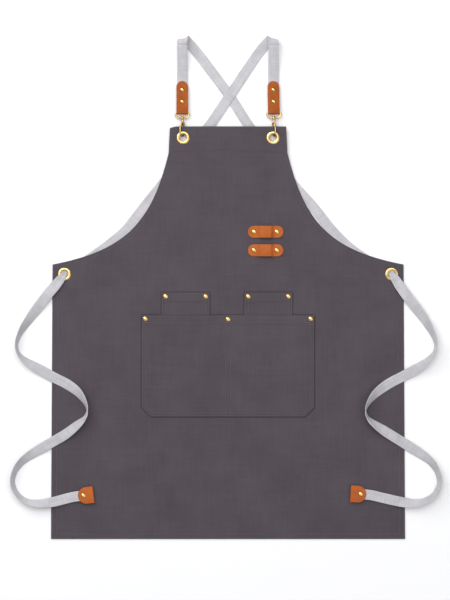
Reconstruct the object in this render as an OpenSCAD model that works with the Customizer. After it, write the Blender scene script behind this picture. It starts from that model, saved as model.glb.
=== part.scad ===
// Cross-back smock apron, lying face up on a table with its straps spread out.
// +X is the right of the apron, +Y runs from the hem to the shoulders, +Z is up.
// The table is z = 0, and the origin is the middle of the apron with its strap ends.

/* [Canvas] */
// Width across the hem
hem_w = 698; // [560:1:860]
// Width across the waist corners
waist_w = 692; // [560:1:860]
// Height from the hem to the waist corners
skirt_h = 541; // [440:1:660]
// Height from the waist corners to the top of the bib
bib_h = 272; // [225:1:340]
// Width of the bib along its top edge
bib_w = 229; // [210:1:290]
// Width of the bib where its facing ends
bib_base_w = 234; // [215:1:300]
// Height of the facing sewn behind the top of the bib
facing_h = 52; // [46:1:70]
// Thickness of one layer of canvas
canvas_t = 0.7; // [0.5:0.05:0.9]
// Width of the turned hem at the sides and the bottom
hem_fold_w = 12; // [8:1:20]
// Thickness of the layers turned under in that hem
hem_t = 2.1; // [2:0.1:3]
// Width of the turned edge around each armhole
armhole_fold_w = 7; // [5:1:10]

/* [Pockets] */
// Width of the divided pocket
pocket_w = 340; // [280:1:420]
// Height of the divided pocket
pocket_h = 200; // [160:1:250]
// Distance from the waist corners down to the pocket's opening
pocket_drop = 100; // [80:1:130]
// Size of the cut corners at the pocket's foot
pocket_chamfer = 18; // [10:1:24]
// Depth of the pockets' top hems
pocket_hem_h = 18; // [14:1:24]
// Width of the edges turned under along the pocket's sides and foot
pocket_edge_w = 8; // [6:1:12]
// Width of each pen pocket
pen_w = 95; // [75:1:114]
// Distance between the centres of the pen pockets
pen_pitch = 163; // [140:1:190]
// Height that the pen pockets stand above the divided pocket
pen_rise = 45; // [38:1:55]
// Depth of the pen pockets below the divided pocket's opening
pen_depth = 105; // [80:1:130]

/* [Tool loops] */
// Length of a leather tool loop
loop_l = 70; // [66:1:90]
// Width of a leather tool loop
loop_w = 23.5; // [18:0.5:28]
// Centre of the loops to the right of the apron's middle
loop_x = 74; // [60:1:85]
// Height of the lower loop above the waist corners
loop_rise = 28; // [20:1:40]
// Distance between the two loops
loop_pitch = 36.5; // [32:0.5:44]
// Distance between a loop's two rivets
loop_rivet_pitch = 45; // [42:1:52]
// Clear height under the arch of a loop
loop_arch = 5; // [4.5:0.1:8]

/* [Hardware] */
// Thickness of the leather
leather_t = 1.5; // [1.2:0.1:1.8]
// Outer diameter of an eyelet
eyelet_d = 25.4; // [24:0.1:30.5]
// Clear hole through an eyelet
eyelet_hole_d = 14.4; // [12:0.1:17.3]
// Distance of the bib eyelets from the apron's middle
bib_eyelet_x = 88.5; // [80:0.5:95]
// Distance of the bib eyelets below the top of the bib
bib_eyelet_inset = 22.5; // [20:0.5:28]
// Distance of the waist eyelets in from the side edge
waist_eyelet_inset = 23.5; // [19:0.5:30]
// Distance of the waist eyelets below the waist corners
waist_eyelet_drop = 19; // [17:0.5:26]
// Diameter of a pocket rivet's cap
rivet_cap_d = 9; // [7.5:0.1:10.8]
// Diameter of a strap rivet's cap
strap_cap_d = 8; // [6.6:0.1:9.6]
// Diameter of a rivet's post
post_d = 2.6; // [2:0.1:3.2]
// Diameter of the buckle and hook wire
wire_d = 3; // [2.5:0.1:3.3]

/* [Strap ends] */
// Distance of the strap ends from the apron's middle
strap_end_x = 90.2; // [85:0.1:95]
// Width of the folded leather tab
tab_w = 23; // [21:0.5:27]
// Length of the tab beyond the buckle's bar
tab_l = 62.6; // [52:0.1:76]
// Slope at which the strap ends rise towards the bib, in degrees
end_slope = 2.2; // [1:0.1:3]
// Turn of the right strap end seen from above, in degrees
right_turn = 1; // [0:0.1:3]
// Height of the buckle's bar above the table
bar_z = 6.2; // [6:0.1:8]
// Drop from the buckle's bar to its swivel boss
buckle_drop = 10.4; // [10:0.1:12.5]
// Length of the hook from the swivel boss to the foot of its bend
hook_l = 35.3; // [33:0.1:38]
// Radius of the hook's bend, to the middle of the wire
hook_r = 6.3; // [6:0.1:7]
// Turn of the left hook about its swivel, in degrees
left_hook_turn = 50; // [48:1:90]
// Turn of the right hook about its swivel, in degrees
right_hook_turn = 110; // [90:1:130]

/* [Webbing] */
// Width of the webbing
strap_w = 20; // [18:0.5:22]
// Thickness of the webbing
strap_t = 1.2; // [1:0.1:1.2]
// Radius of the soft fold at each shoulder
fold_r = 7; // [5:0.5:8]
// Sideways travel of the webbing through that fold
fold_shift = 10; // [6:0.5:14]
// Slope of the fold line seen from above, in degrees
fold_a = 19; // [15:1:25]

/* [Hidden] */
$fn = 48;
small_fn = 24;

canvas_colour = [0.36, 0.33, 0.35];
facing_colour = [0.33, 0.30, 0.32];
leather_colour = [0.70, 0.35, 0.14];
webbing_colour = [0.80, 0.80, 0.82];
brass_colour = [0.80, 0.66, 0.30];
steel_colour = [0.62, 0.62, 0.64];

left = -1;
right = 1;
layer_gap = 0.1;
fit = 0.1;
moving_fit = 0.3;
running_fit = 0.08;

// Layers above the table
panel_z = max(hem_t, strap_t + canvas_t + 2 * layer_gap);
panel_top = panel_z + canvas_t;

// Eyelets and rivets
barrel_t = 0.7;
flange_t = 1.3;
flange_rim = 0.3;
washer_t = 0.6;
hole_r = eyelet_hole_d / 2;
barrel_r = hole_r + barrel_t;
washer_r = eyelet_d / 2 - 0.5;
cap_rim = 0.5;
cap_h = 2;
back_d = 8;
back_h = 1;
post_in_back = 0.8;

// Strap ends: the hook's wire passes inside the eyelet's upper rim,
// and the bib rises so that its canvas meets the hook's axis there
wire_r = wire_d / 2;
tab_t = 2 * leather_t + strap_t;
rim_gap = 2.1;
bib_ramp_l = 150;
hook_run = buckle_drop + hook_l;
hook_z = bar_z + hook_run * sin(end_slope);
ramp_h = bib_h - bib_ramp_l;
bib_eyelet_h = bib_h - bib_eyelet_inset;
bend_run = bib_eyelet_h + hole_r - rim_gap - wire_r - ramp_h;
ramp_a = asin((hook_z - canvas_t / 2 - panel_z) / bend_run);
bar_h = ramp_h + bend_run * cos(ramp_a) + hook_run * cos(end_slope);
total_h = skirt_h + bar_h + tab_l * cos(end_slope);

// Heights along the apron
waist_y = skirt_h - total_h / 2;
hem_y = waist_y - skirt_h;
top_y = waist_y + bib_h;
facing_y = top_y - facing_h;
ramp_y = waist_y + ramp_h;
bar_y = waist_y + bar_h;
bib_eyelet_y = waist_y + bib_eyelet_h;
waist_eyelet_x = waist_w / 2 - waist_eyelet_inset;
waist_eyelet_y = waist_y - waist_eyelet_drop;

// Pockets
pocket_y = waist_y - pocket_drop;
pen_top_y = pocket_y + pen_rise;
pen_shift = -2;
pocket_face_z = panel_top + canvas_t + layer_gap;
pocket_rivet_inset = 7;
pen_rivet_inset = 8;
pocket_rivet_xy = [
  [-pocket_w / 2 + pocket_rivet_inset, pocket_y - pocket_rivet_inset],
  [0, pocket_y - pocket_rivet_inset - 1],
  [pocket_w / 2 - pocket_rivet_inset, pocket_y - pocket_rivet_inset]
];
pen_rivet_xy = [
  for (side = [left, right], end = [left, right])
    [pen_shift + side * pen_pitch / 2 + end * (pen_w / 2 - pen_rivet_inset), pen_top_y - pen_rivet_inset]
];
pen_top_z = panel_top + 2 * canvas_t;
pocket_top_z = pocket_face_z + 2 * canvas_t;

// Tool loops
loop_lower_y = waist_y + loop_rise;
loop_upper_y = loop_lower_y + loop_pitch;
loop_rivet_xy = [
  for (y = [loop_lower_y, loop_upper_y], end = [left, right])
    [loop_x + end * loop_rivet_pitch / 2, y]
];
loop_flat_x = loop_rivet_pitch / 2 - rivet_cap_d / 2 - 0.5;
loop_crown_x = loop_flat_x - 8;

// Buckle, hook and gate
bar_bore_r = wire_r + running_fit;
tab_fold_r = bar_bore_r + leather_t;
buckle_side_x = tab_w / 2 + 0.35 + wire_r;
buckle_top_r = 2;
buckle_foot_r = 7.5;
boss_r = 3.3;
neck_r = 1.4;
head_r = 2.4;
head_t = 1.5;
collar_r = 2.6;
collar_t = 1.8;
shoulder_r = 1.9;
shoulder_y = -boss_r - moving_fit - collar_t;
shoulder_l = 2.8;
arm_bend_y = -20;
bend_y = -hook_l + hook_r;
tip_y = bend_y + 4.1;
pivot = [2.8, -9.9];
gate_tip = [hook_r - 0.2, tip_y + 2.3];
gate_r = 1.4;
gate_pin_r = 0.8;
lug_t = 1;
fork_gap = 3;
fork_w = 4.6;
ear_r = 1.9;
spring_wire_r = 0.17;
spring_r = 1.25;

// Tie tabs
tie_r = 16.5;
tie_l = 14.5;
tie_z = panel_top + layer_gap + back_h + tab_t / 2;
tie_rivet_x = -6;
tie_place = [[-279, -364.6, 7], [255.5, -362.2, 176]];

// Webbing: each row is x, y, height of its middle, bank in degrees and width.
// A positive bank lifts the edge on the left of the way it runs.
lead_left = [
  [-90.2, 451.8, 3.8, 0, 20],
  [-90.2, 472, 5.4, 0, 20],
  [-90.2, 492, 9.2, 0, 20],
  [-90.2, 511, 13.2, 0, 20],
  [-90.2, 522, 14.7, 0, 20]
];
lead_right = [
  [89.1, 451.8, 3.8, 0, 20],
  [89.3, 472, 5.4, 0, 20],
  [89.4, 492, 9.2, 0, 20],
  [89.5, 511, 13.2, 0, 20],
  [89.6, 522, 14.7, 0, 20]
];
fold_low_z = 0.9;
laid_waist_y = 89.898;
laid_bar_y = 388.548;
laid_eyelet_x = 322.5;
laid_panel_top = 2.8;
lead_gap = [0, 0.3, 0, 0, 0];
fold_gap = [0, 4.5, 0.2, 0, 0];

// From the left shoulder, under the crossing, to the right waist eyelet and along the right tie
run_left = [
  [-66, 514, 0.7, 0, 20],
  [3, 422, 0.7, 0, 20],
  [42, 362, 0.7, 0, 20],
  [126, 251, 0.7, 0, 20],
  [169, 202, 0.7, 0, 20],
  [205, 157, 0.7, 0, 20],
  [240, 122.5, 0.7, 0, 20],
  [272, 100, 0.7, 0, 20],
  [298, 84, 0.7, 0, 20],
  [309, 77.5, 0.7, 0, 13],
  [316.8, 73, 0.8, 0, 7.6],
  [320.6, 71.6, 2.9, 0, 9.4],
  [325.2, 67, 5.5, 0, 15],
  [330.6, 59.4, 6.3, 0, 18],
  [338, 48, 6.8, 0, 20],
  [350, 31, 6.8, 0, 20],
  [364, 13, 6.4, 5, 20],
  [386, -17, 5.8, 30, 20],
  [403, -47, 9.3, 62, 20],
  [409, -68, 10, 78, 20],
  [406, -83, 10, 78, 20],
  [393, -99, 9, 58, 20],
  [377, -112, 6.2, 28, 20],
  [360, -122, 4.8, 4, 20],
  [345, -130, 3.8, 0, 20],
  [315, -146, 3.6, 0, 20],
  [292, -163, 8.6, -32, 20],
  [277, -181, 12.1, -62, 20],
  [271, -197, 12.9, -82, 20],
  [274, -210, 12.9, -76, 20],
  [284, -221, 11.6, -54, 20],
  [310, -239, 6.4, -15, 20],
  [345, -261, 3.8, 0, 20],
  [358, -269, 3.8, 0, 20],
  [378, -282, 4, 16, 20],
  [399, -298, 7.2, 42, 20],
  [412, -318, 9.1, 60, 20],
  [416, -341, 9.5, 66, 20],
  [405, -364, 9.5, 66, 20],
  [384, -377, 8.8, 56, 20],
  [362, -380, 7.9, 36, 20],
  [338, -377, 6.4, 12, 20],
  [306, -370, 4.8, 0, 20],
  [280, -364, 6, 0, 20],
  [250, -361.9, 6, 0, 20]
];

// From the right shoulder, over the crossing, to the left waist eyelet and along the left tie
run_right = [
  [65, 513, 0.7, 0, 20],
  [33, 467, 1.3, 0, 20],
  [3, 422, 2.1, 0, 20],
  [-38, 362, 1.2, 0, 20],
  [-124, 255, 0.7, 0, 20],
  [-169, 199, 0.7, 0, 20],
  [-200, 159, 0.7, 0, 20],
  [-228, 134, 0.7, 0, 20],
  [-274, 101, 0.7, 0, 20],
  [-299, 85, 0.7, 0, 20],
  [-309.5, 77.8, 0.7, 0, 13],
  [-316.8, 73, 0.8, 0, 7.6],
  [-320.6, 71.6, 2.9, 0, 9.4],
  [-325.4, 67, 5.5, 0, 15],
  [-331.4, 59.4, 6.3, 0, 18],
  [-340, 48.6, 6.8, 0, 20],
  [-354, 32, 6.8, 0, 20],
  [-368, 14, 6.4, -6, 20],
  [-391, -17, 6, -32, 20],
  [-408, -43, 9.1, -60, 20],
  [-416, -66, 10, -78, 20],
  [-413, -84, 10, -78, 20],
  [-401, -98, 9, -58, 20],
  [-381, -111, 6.2, -28, 20],
  [-363, -121, 4.9, -6, 20],
  [-346, -131, 3.8, 0, 20],
  [-317, -146, 3.6, 0, 20],
  [-296, -161, 8.4, 30, 20],
  [-282, -180, 12.1, 62, 20],
  [-277, -197, 12.9, 82, 20],
  [-282, -212, 12.5, 70, 20],
  [-298, -227, 9.6, 36, 20],
  [-321, -245, 5.2, 8, 20],
  [-348, -261, 3.8, 0, 20],
  [-362, -269, 3.8, 0, 20],
  [-384, -282, 4.4, -20, 20],
  [-406, -298, 7.3, -44, 20],
  [-420, -318, 9.1, -60, 20],
  [-424, -341, 9.6, -68, 20],
  [-415, -362, 9.6, -68, 20],
  [-398, -376, 9, -60, 20],
  [-374, -381, 7.8, -40, 20],
  [-346, -378, 6.6, -18, 20],
  [-318, -371, 4.8, 0, 20],
  [-302, -367.4, 6, 0, 20],
  [-273, -363.9, 6, 0, 20]
];

// ---- Placing ----

// Tilts what lies on the flat panel about the line where the bib starts to rise
module on_bib()
  translate([0, ramp_y, panel_z]) rotate([ramp_a, 0, 0]) translate([0, -ramp_y, -panel_z]) children();

// Lays a flat outline on the panel, bent along that line
module laid(z, t) {
  span = 2 * total_h;
  translate([0, 0, z]) linear_extrude(t) intersection() {
    children();
    translate([-span / 2, ramp_y - span]) square(span);
  }
  on_bib() translate([0, 0, z]) linear_extrude(t) intersection() {
    children();
    translate([-span / 2, ramp_y - layer_gap]) square(span);
  }
}

// Frame of one strap end: its origin is on the buckle's bar, and +Y points along the tab
module strap_end(side)
  translate([side * strap_end_x, bar_y, bar_z])
    rotate([-end_slope, 0, side == right ? right_turn : 0]) children();

// Frame of one hook: its origin is in the swivel boss, and the hook hangs along -Y
module hook_frame(side)
  strap_end(side) translate([0, -buckle_drop, 0])
    rotate([0, side == right ? right_hook_turn : left_hook_turn, 0]) children();

module tie_end(side) {
  p = tie_place[side == right ? 1 : 0];
  at = followed([[p.x, p.y, 0, 0, 0]])[0];
  translate([at.x, at.y, tie_z]) rotate([0, 0, p.z]) children();
}

// ---- Canvas ----

// Curve of the right armhole, from the bib's facing to the waist corner
armhole_steps = 14;
armhole = [
  [bib_base_w / 2, facing_y],
  [bib_base_w / 2 + 33, facing_y - 134],
  [waist_w / 2 - 148, waist_y + 28.5],
  [waist_w / 2, waist_y]
];
function bezier(p, t) =
  pow(1 - t, 3) * p[0] + 3 * t * pow(1 - t, 2) * p[1] + 3 * t * t * (1 - t) * p[2] + pow(t, 3) * p[3];
function bezier_way(p, t) =
  pow(1 - t, 2) * (p[1] - p[0]) + 2 * t * (1 - t) * (p[2] - p[1]) + t * t * (p[3] - p[2]);
function inward(p, t, d) = let (w = bezier_way(p, t)) bezier(p, t) + d * [w.y, -w.x] / norm(w);
armhole_edge = [for (i = [0:armhole_steps]) bezier(armhole, i / armhole_steps)];
armhole_inner = [for (i = [0:armhole_steps]) inward(armhole, i / armhole_steps, armhole_fold_w)];
half_outline = concat([[bib_w / 2, top_y]], armhole_edge, [[hem_w / 2, hem_y]]);
function flipped(points) = [for (i = [len(points) - 1:-1:0]) [-points[i].x, points[i].y]];
function side_x(y) = waist_w / 2 + (hem_w - waist_w) / 2 * (waist_y - y) / skirt_h;

module panel_outline() polygon(concat(half_outline, flipped(half_outline)));

module eyelet_holes() {
  for (side = [left, right]) {
    translate([side * waist_eyelet_x, waist_eyelet_y, -1]) cylinder(r = barrel_r + fit, h = 10);
    on_bib() translate([side * bib_eyelet_x, bib_eyelet_y, -1]) cylinder(r = barrel_r + fit, h = 10);
  }
}

module post_holes(places)
  for (p = places) translate([p.x, p.y, -1]) cylinder(d = post_d + 2 * fit, h = 20, $fn = small_fn);

module apron_panel() color(canvas_colour) difference() {
  laid(panel_z, canvas_t) panel_outline();
  eyelet_holes();
  post_holes(concat(pocket_rivet_xy, pen_rivet_xy, loop_rivet_xy));
}

// The facing doubles the canvas behind the bib's top edge
module bib_facing() color(facing_colour) difference() {
  laid(panel_z - canvas_t, canvas_t) polygon([
    [-bib_base_w / 2, facing_y], [bib_base_w / 2, facing_y], [bib_w / 2, top_y], [-bib_w / 2, top_y]
  ]);
  eyelet_holes();
}

module side_hem(side) color(facing_colour) difference() {
  foot_y = hem_y + hem_fold_w;
  linear_extrude(panel_z) polygon([
    [side * side_x(foot_y), foot_y], [side * waist_w / 2, waist_y],
    [side * (waist_w / 2 - hem_fold_w), waist_y], [side * (side_x(foot_y) - hem_fold_w), foot_y]
  ]);
  translate([side * waist_eyelet_x, waist_eyelet_y, -1]) cylinder(r = washer_r + moving_fit, h = 5);
}

module bottom_hem() color(facing_colour) linear_extrude(panel_z) polygon([
  [-hem_w / 2, hem_y], [hem_w / 2, hem_y],
  [side_x(hem_y + hem_fold_w), hem_y + hem_fold_w], [-side_x(hem_y + hem_fold_w), hem_y + hem_fold_w]
]);

// The armhole's turned edge ends where the side hem and the facing begin
module armhole_hem(side) color(facing_colour) mirror([side == left ? 1 : 0, 0, 0]) difference() {
  laid(panel_z - canvas_t, canvas_t) intersection() {
    polygon(concat(armhole_edge, [for (i = [armhole_steps:-1:0]) armhole_inner[i]]));
    translate([0, waist_y - 20]) square([waist_w / 2 - hem_fold_w, facing_y - waist_y + 20]);
  }
  translate([waist_eyelet_x, waist_eyelet_y, -1]) cylinder(r = washer_r + moving_fit, h = 5);
}

// ---- Pockets ----

module pocket_outline(inset = 0) {
  w = pocket_w / 2 - inset;
  c = pocket_chamfer;
  foot = pocket_y - pocket_h + inset;
  polygon([[-w, pocket_y], [-w, foot + c], [-w + c, foot], [w - c, foot], [w, foot + c], [w, pocket_y]]);
}

module pocket_large() color(canvas_colour) difference() {
  union() {
    translate([0, 0, pocket_face_z]) linear_extrude(canvas_t) pocket_outline();
    translate([0, 0, panel_top]) linear_extrude(pocket_face_z - panel_top) difference() {
      pocket_outline();
      pocket_outline(pocket_edge_w);
      translate([-pocket_w / 2 + pocket_edge_w, pocket_y - 1]) square([pocket_w - 2 * pocket_edge_w, 2]);
    }
    translate([-pocket_w / 2, pocket_y - pocket_hem_h, pocket_face_z])
      cube([pocket_w, pocket_hem_h, 2 * canvas_t]);
  }
  post_holes(pocket_rivet_xy);
}

module pen_pocket(side) color(canvas_colour) difference() {
  union() {
    x = pen_shift + side * pen_pitch / 2 - pen_w / 2;
    translate([x, pocket_y - pen_depth, panel_top]) cube([pen_w, pen_depth + pen_rise, canvas_t]);
    translate([x, pen_top_y - pocket_hem_h, panel_top]) cube([pen_w, pocket_hem_h, 2 * canvas_t]);
  }
  post_holes(concat(pocket_rivet_xy, pen_rivet_xy));
}

// ---- Rivets and eyelets ----

// A domed cap and its post; the origin is under the cap, and grip is what the rivet holds
module rivet(cap_d, grip) {
  dome_h = cap_h - cap_rim;
  dome_r = (pow(cap_d / 2, 2) + dome_h * dome_h) / (2 * dome_h);
  intersection() {
    cylinder(d = cap_d, h = cap_h);
    translate([0, 0, cap_h - dome_r]) sphere(dome_r);
  }
  translate([0, 0, -grip - post_in_back]) cylinder(d = post_d, h = grip + post_in_back + 0.2, $fn = small_fn);
}

// The cap that is pressed on the post from behind
module rivet_back(grip) translate([0, 0, -grip - back_h]) difference() {
  cylinder(d = back_d, h = back_h);
  translate([0, 0, back_h - post_in_back]) cylinder(d = post_d + fit, h = back_h, $fn = small_fn);
}

module at_each(places, z) for (p = places) translate([p.x, p.y, z]) children();

module pocket_rivets() color(brass_colour) {
  at_each(pocket_rivet_xy, pocket_top_z) rivet(rivet_cap_d, pocket_top_z - panel_z);
  at_each(pen_rivet_xy, pen_top_z) rivet(rivet_cap_d, pen_top_z - panel_z);
}

module pocket_rivet_backs() color(brass_colour)
  at_each(concat(pocket_rivet_xy, pen_rivet_xy), panel_z) rivet_back(0);

module tool_loop_rivets() color(brass_colour)
  at_each(loop_rivet_xy, panel_top + leather_t) rivet(rivet_cap_d, canvas_t + leather_t);

module tool_loop_rivet_backs() color(brass_colour)
  at_each(loop_rivet_xy, panel_z) rivet_back(0);

// Flange and barrel; the origin is on the canvas, and layers is what the eyelet holds
module eyelet(layers) {
  rim_r = eyelet_d / 2;
  middle = (rim_r + hole_r) / 2;
  half = (rim_r - hole_r) / 2;
  color(brass_colour) rotate_extrude() polygon(concat(
    [[hole_r, -layers - washer_t], [barrel_r, -layers - washer_t], [barrel_r, 0], [rim_r, 0]],
    [for (a = [0:15:180]) [middle + half * cos(a), flange_rim + (flange_t - flange_rim) * sin(a)]]
  ));
}

module washer(layers) color(brass_colour) translate([0, 0, -layers - washer_t]) difference() {
  cylinder(r = washer_r, h = washer_t);
  translate([0, 0, -1]) cylinder(r = barrel_r + fit / 2, h = washer_t + 2);
}

module at_bib_eyelet(side) on_bib() translate([side * bib_eyelet_x, bib_eyelet_y, panel_top]) children();
module at_waist_eyelet(side) translate([side * waist_eyelet_x, waist_eyelet_y, panel_top]) children();

// ---- Tool loops ----

function smooth(t) = t * t * (3 - 2 * t);
function loop_height(x) =
  loop_arch * smooth(max(0, min(1, (loop_flat_x - abs(x)) / (loop_flat_x - loop_crown_x))));
loop_x_steps = concat(
  [-loop_l / 2], [for (x = [-loop_flat_x:1:-loop_crown_x]) x],
  [for (x = [loop_crown_x:1:loop_flat_x]) x], [loop_l / 2]
);

module tool_loop(y) color(leather_colour) translate([loop_x, y, panel_top]) difference() {
  intersection() {
    rotate([90, 0, 0]) linear_extrude(loop_w, center = true) polygon(concat(
      [for (x = loop_x_steps) [x, loop_height(x) + leather_t]],
      [for (i = [len(loop_x_steps) - 1:-1:0]) [loop_x_steps[i], loop_height(loop_x_steps[i])]]
    ));
    linear_extrude(20) union() {
      square([loop_l - loop_w, loop_w], center = true);
      for (end = [left, right]) translate([end * (loop_l - loop_w) / 2, 0]) circle(d = loop_w);
    }
  }
  post_holes([for (end = [left, right]) [end * loop_rivet_pitch / 2, 0]]);
}

// ---- Strap ends ----

tab_rivet_ys = [22.2, 45.6];

// Leather folded round the buckle's bar, with the end of the webbing between its layers
module strap_tab() color(leather_colour) difference() {
  intersection() {
    rotate([90, 0, 90]) linear_extrude(tab_w, center = true) union() {
      circle(r = tab_fold_r);
      translate([0, -tab_t / 2]) square([tab_l, tab_t]);
    }
    linear_extrude(20, center = true) union() {
      translate([-tab_w, -5]) square([2 * tab_w, tab_l - tab_w / 2 + 5]);
      translate([0, tab_l - tab_w / 2]) circle(d = tab_w);
    }
  }
  rotate([0, 90, 0]) cylinder(r = bar_bore_r, h = tab_w + 2, center = true);
  translate([-tab_w, 4.5, -strap_t / 2]) cube([2 * tab_w, tab_l, strap_t]);
  translate([0, 0, -10]) post_holes([for (y = tab_rivet_ys) [0, y]]);
}

module strap_stub() color(webbing_colour) difference() {
  translate([-strap_w / 2, 5, -strap_t / 2]) cube([strap_w, tab_l - 5, strap_t]);
  translate([0, 0, -10]) post_holes([for (y = tab_rivet_ys) [0, y]]);
}

module tab_rivets() color(brass_colour)
  at_each([for (y = tab_rivet_ys) [0, y]], tab_t / 2) rivet(strap_cap_d, tab_t);

module tab_rivet_backs() color(brass_colour)
  at_each([for (y = tab_rivet_ys) [0, y]], tab_t / 2) rivet_back(tab_t);

// A straight round rod between two points of a plane
module rod(a, b, r) {
  d = b - a;
  translate([a.x, a.y, 0]) rotate([0, 0, atan2(d.y, d.x)]) rotate([0, 90, 0])
    cylinder(r = r, h = norm(d), $fn = small_fn);
}

// A round rod bent about a point of a plane
module bend(c, bend_r, start, sweep, r)
  translate([c.x, c.y, 0]) rotate([0, 0, start]) rotate_extrude(angle = sweep)
    translate([bend_r, 0]) circle(r = r, $fn = small_fn);

module ball(p, r) translate([p.x, p.y, 0]) sphere(r = r, $fn = small_fn);

module buckle() color(brass_colour) difference() {
  union() {
    top_x = buckle_side_x - buckle_top_r;
    foot_x = buckle_side_x - buckle_foot_r;
    foot_c_y = -buckle_drop + buckle_foot_r;
    rod([-top_x, 0], [top_x, 0], wire_r);
    rod([-foot_x, -buckle_drop], [foot_x, -buckle_drop], wire_r);
    for (side = [left, right]) {
      rod([side * buckle_side_x, -buckle_top_r], [side * buckle_side_x, foot_c_y], wire_r);
      bend([side * top_x, -buckle_top_r], buckle_top_r, side == right ? 0 : 90, 90, wire_r);
      bend([side * foot_x, foot_c_y], buckle_foot_r, side == right ? 270 : 180, 90, wire_r);
    }
    ball([0, -buckle_drop], boss_r);
  }
  rod([0, -buckle_drop - 5], [0, -buckle_drop + 5], neck_r + running_fit);
}

// The hook's swivel post, its open loop of wire and the lug that carries the gate
module hook() color(brass_colour) difference() {
  union() {
    rod([0, boss_r + moving_fit], [0, boss_r + moving_fit + head_t], head_r);
    rod([0, shoulder_y], [0, boss_r + moving_fit + head_t], neck_r);
    rod([0, shoulder_y], [0, shoulder_y + collar_t], collar_r);
    rod([0, shoulder_y - shoulder_l], [0, shoulder_y], shoulder_r);
    rod([0, shoulder_y - shoulder_l / 2], [-hook_r, arm_bend_y], wire_r);
    ball([-hook_r, arm_bend_y], wire_r);
    rod([-hook_r, arm_bend_y], [-hook_r, bend_y], wire_r);
    bend([0, bend_y], hook_r, 180, 180, wire_r);
    rod([hook_r, bend_y], [hook_r, tip_y], wire_r);
    linear_extrude(lug_t, center = true) union() {
      polygon([[-1, shoulder_y], [1.5, shoulder_y], pivot + [1.6, 0.8], pivot + [-1.4, -1.1], [-1.5, -8.6]]);
      translate(pivot) circle(r = ear_r - 0.1);
    }
  }
  translate([pivot.x, pivot.y, -5]) cylinder(r = gate_pin_r + fit / 2, h = 10, $fn = small_fn);
}

// The gate's forked end turns on the pin, and its bar closes the hook's mouth
module gate() color(brass_colour) {
  way = (gate_tip - pivot) / norm(gate_tip - pivot);
  slot_r = ear_r + 1.2;
  union() {
    difference() {
      linear_extrude(fork_w, center = true) union() {
        translate(pivot) circle(r = ear_r);
        translate(pivot) rotate(atan2(way.y, way.x)) translate([0, -ear_r]) square([slot_r + 2, 2 * ear_r]);
      }
      linear_extrude(fork_gap, center = true) translate(pivot) circle(r = slot_r);
      translate([pivot.x, pivot.y, -5]) cylinder(r = gate_pin_r + running_fit, h = 10, $fn = small_fn);
    }
    rod(pivot + (slot_r + 1) * way, gate_tip, gate_r);
    ball(gate_tip, gate_r + 0.1);
  }
}

module gate_pin() color(steel_colour)
  translate([pivot.x, pivot.y, -fork_w / 2]) cylinder(r = gate_pin_r, h = fork_w, $fn = small_fn);

// Two turns of spring wire round the pin, beside the lug
module gate_spring() color(steel_colour)
  translate([pivot.x, pivot.y, lug_t / 2 + 2 * spring_wire_r - 0.05]) rotate_extrude() union()
    for (turn = [0, 1])
      translate([spring_r, turn * 1.9 * spring_wire_r]) circle(r = spring_wire_r, $fn = small_fn);

// ---- Webbing ----

function unit(v) = v / norm(v);
function place(row) = [row.x, row.y, row.z];
function way(rows, i) = unit(place(rows[min(i + 1, len(rows) - 1)]) - place(rows[max(i - 1, 0)]));
function ring(rows, i) =
  let (
    along = way(rows, i),
    up = unit([0, 0, 1] - along.z * along),
    face = cos(rows[i][3]) * up + sin(rows[i][3]) * cross(along, up),
    across = cross(along, face) * rows[i][4] / 2,
    thick = face * strap_t / 2,
    p = place(rows[i])
  )
  [p + across + thick, p - across + thick, p - across - thick, p + across - thick];

// A flat band swept along rows of points
module band(rows) {
  last = len(rows) - 1;
  polyhedron(
    points = [for (i = [0:last], p = ring(rows, i)) p],
    faces = concat(
      [[3, 2, 1, 0]],
      [for (i = [0:last - 1], k = [0, 1, 3]) [4 * i + k, 4 * i + 4 + (k + 1) % 4, 4 * i + 4 + k]],
      [for (i = [0:last - 1], k = [0, 1, 3]) [4 * i + k, 4 * i + (k + 1) % 4, 4 * i + 4 + (k + 1) % 4]],
      // the under face is split along the same line as the upper, so a twisted run keeps its thickness
      [for (i = [0:last - 1]) [4 * i + 2, 4 * i + 3, 4 * i + 6]],
      [for (i = [0:last - 1]) [4 * i + 3, 4 * i + 7, 4 * i + 6]],
      [[4 * last, 4 * last + 1, 4 * last + 2, 4 * last + 3]]
    )
  );
}

// The soft fold at a shoulder: half a turn about a sloping line, from the upper layer to the lower
fold_steps = 6;
function fold_rows(side, from) = [
  for (i = [0:fold_steps])
    let (
      a = 180 * i / fold_steps,
      out = fold_r * sin(a),
      over = fold_shift * i / fold_steps,
      x = from.x - side * (over * cos(fold_a) - out * sin(fold_a)),
      y = from.y + over * sin(fold_a) + out * cos(fold_a),
      bank = acos(cos(a) / sqrt(1 - pow(cos(fold_a) * sin(a), 2)))
    )
    [x, y, fold_low_z + fold_r * (1 + cos(a)), side * bank, strap_w]
];
function turned(rows, side) = [for (r = rows) [r.x, r.y, r.z, r[3] + side * 180, r[4]]];

// The rows are laid for one size of apron: they move with its waist eyelets and its hooks
function followed(rows) = [
  for (r = rows)
    let (
      up = max(0, min(1, (r.y - laid_waist_y) / (laid_bar_y - laid_waist_y))),
      out = min(1, abs(r.x) / laid_eyelet_x) * (1 - up),
      x = r.x + sign(r.x) * out * (waist_eyelet_x - laid_eyelet_x),
      y = r.y + (1 - up) * (waist_y - laid_waist_y) + up * (bar_y - laid_bar_y)
    )
    [x, y, r.z + (r.z > 2 && r.y < laid_waist_y ? panel_top - laid_panel_top : 0), r[3], r[4]]
];
function strap_rows(side) =
  let (
    lead = followed(side == left ? lead_left : lead_right),
    run = followed(side == left ? run_left : run_right),
    last = len(lead) - 1
  )
  concat([lead[last] + lead_gap], fold_rows(side, lead[last] + fold_gap), turned(run, side));

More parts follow.
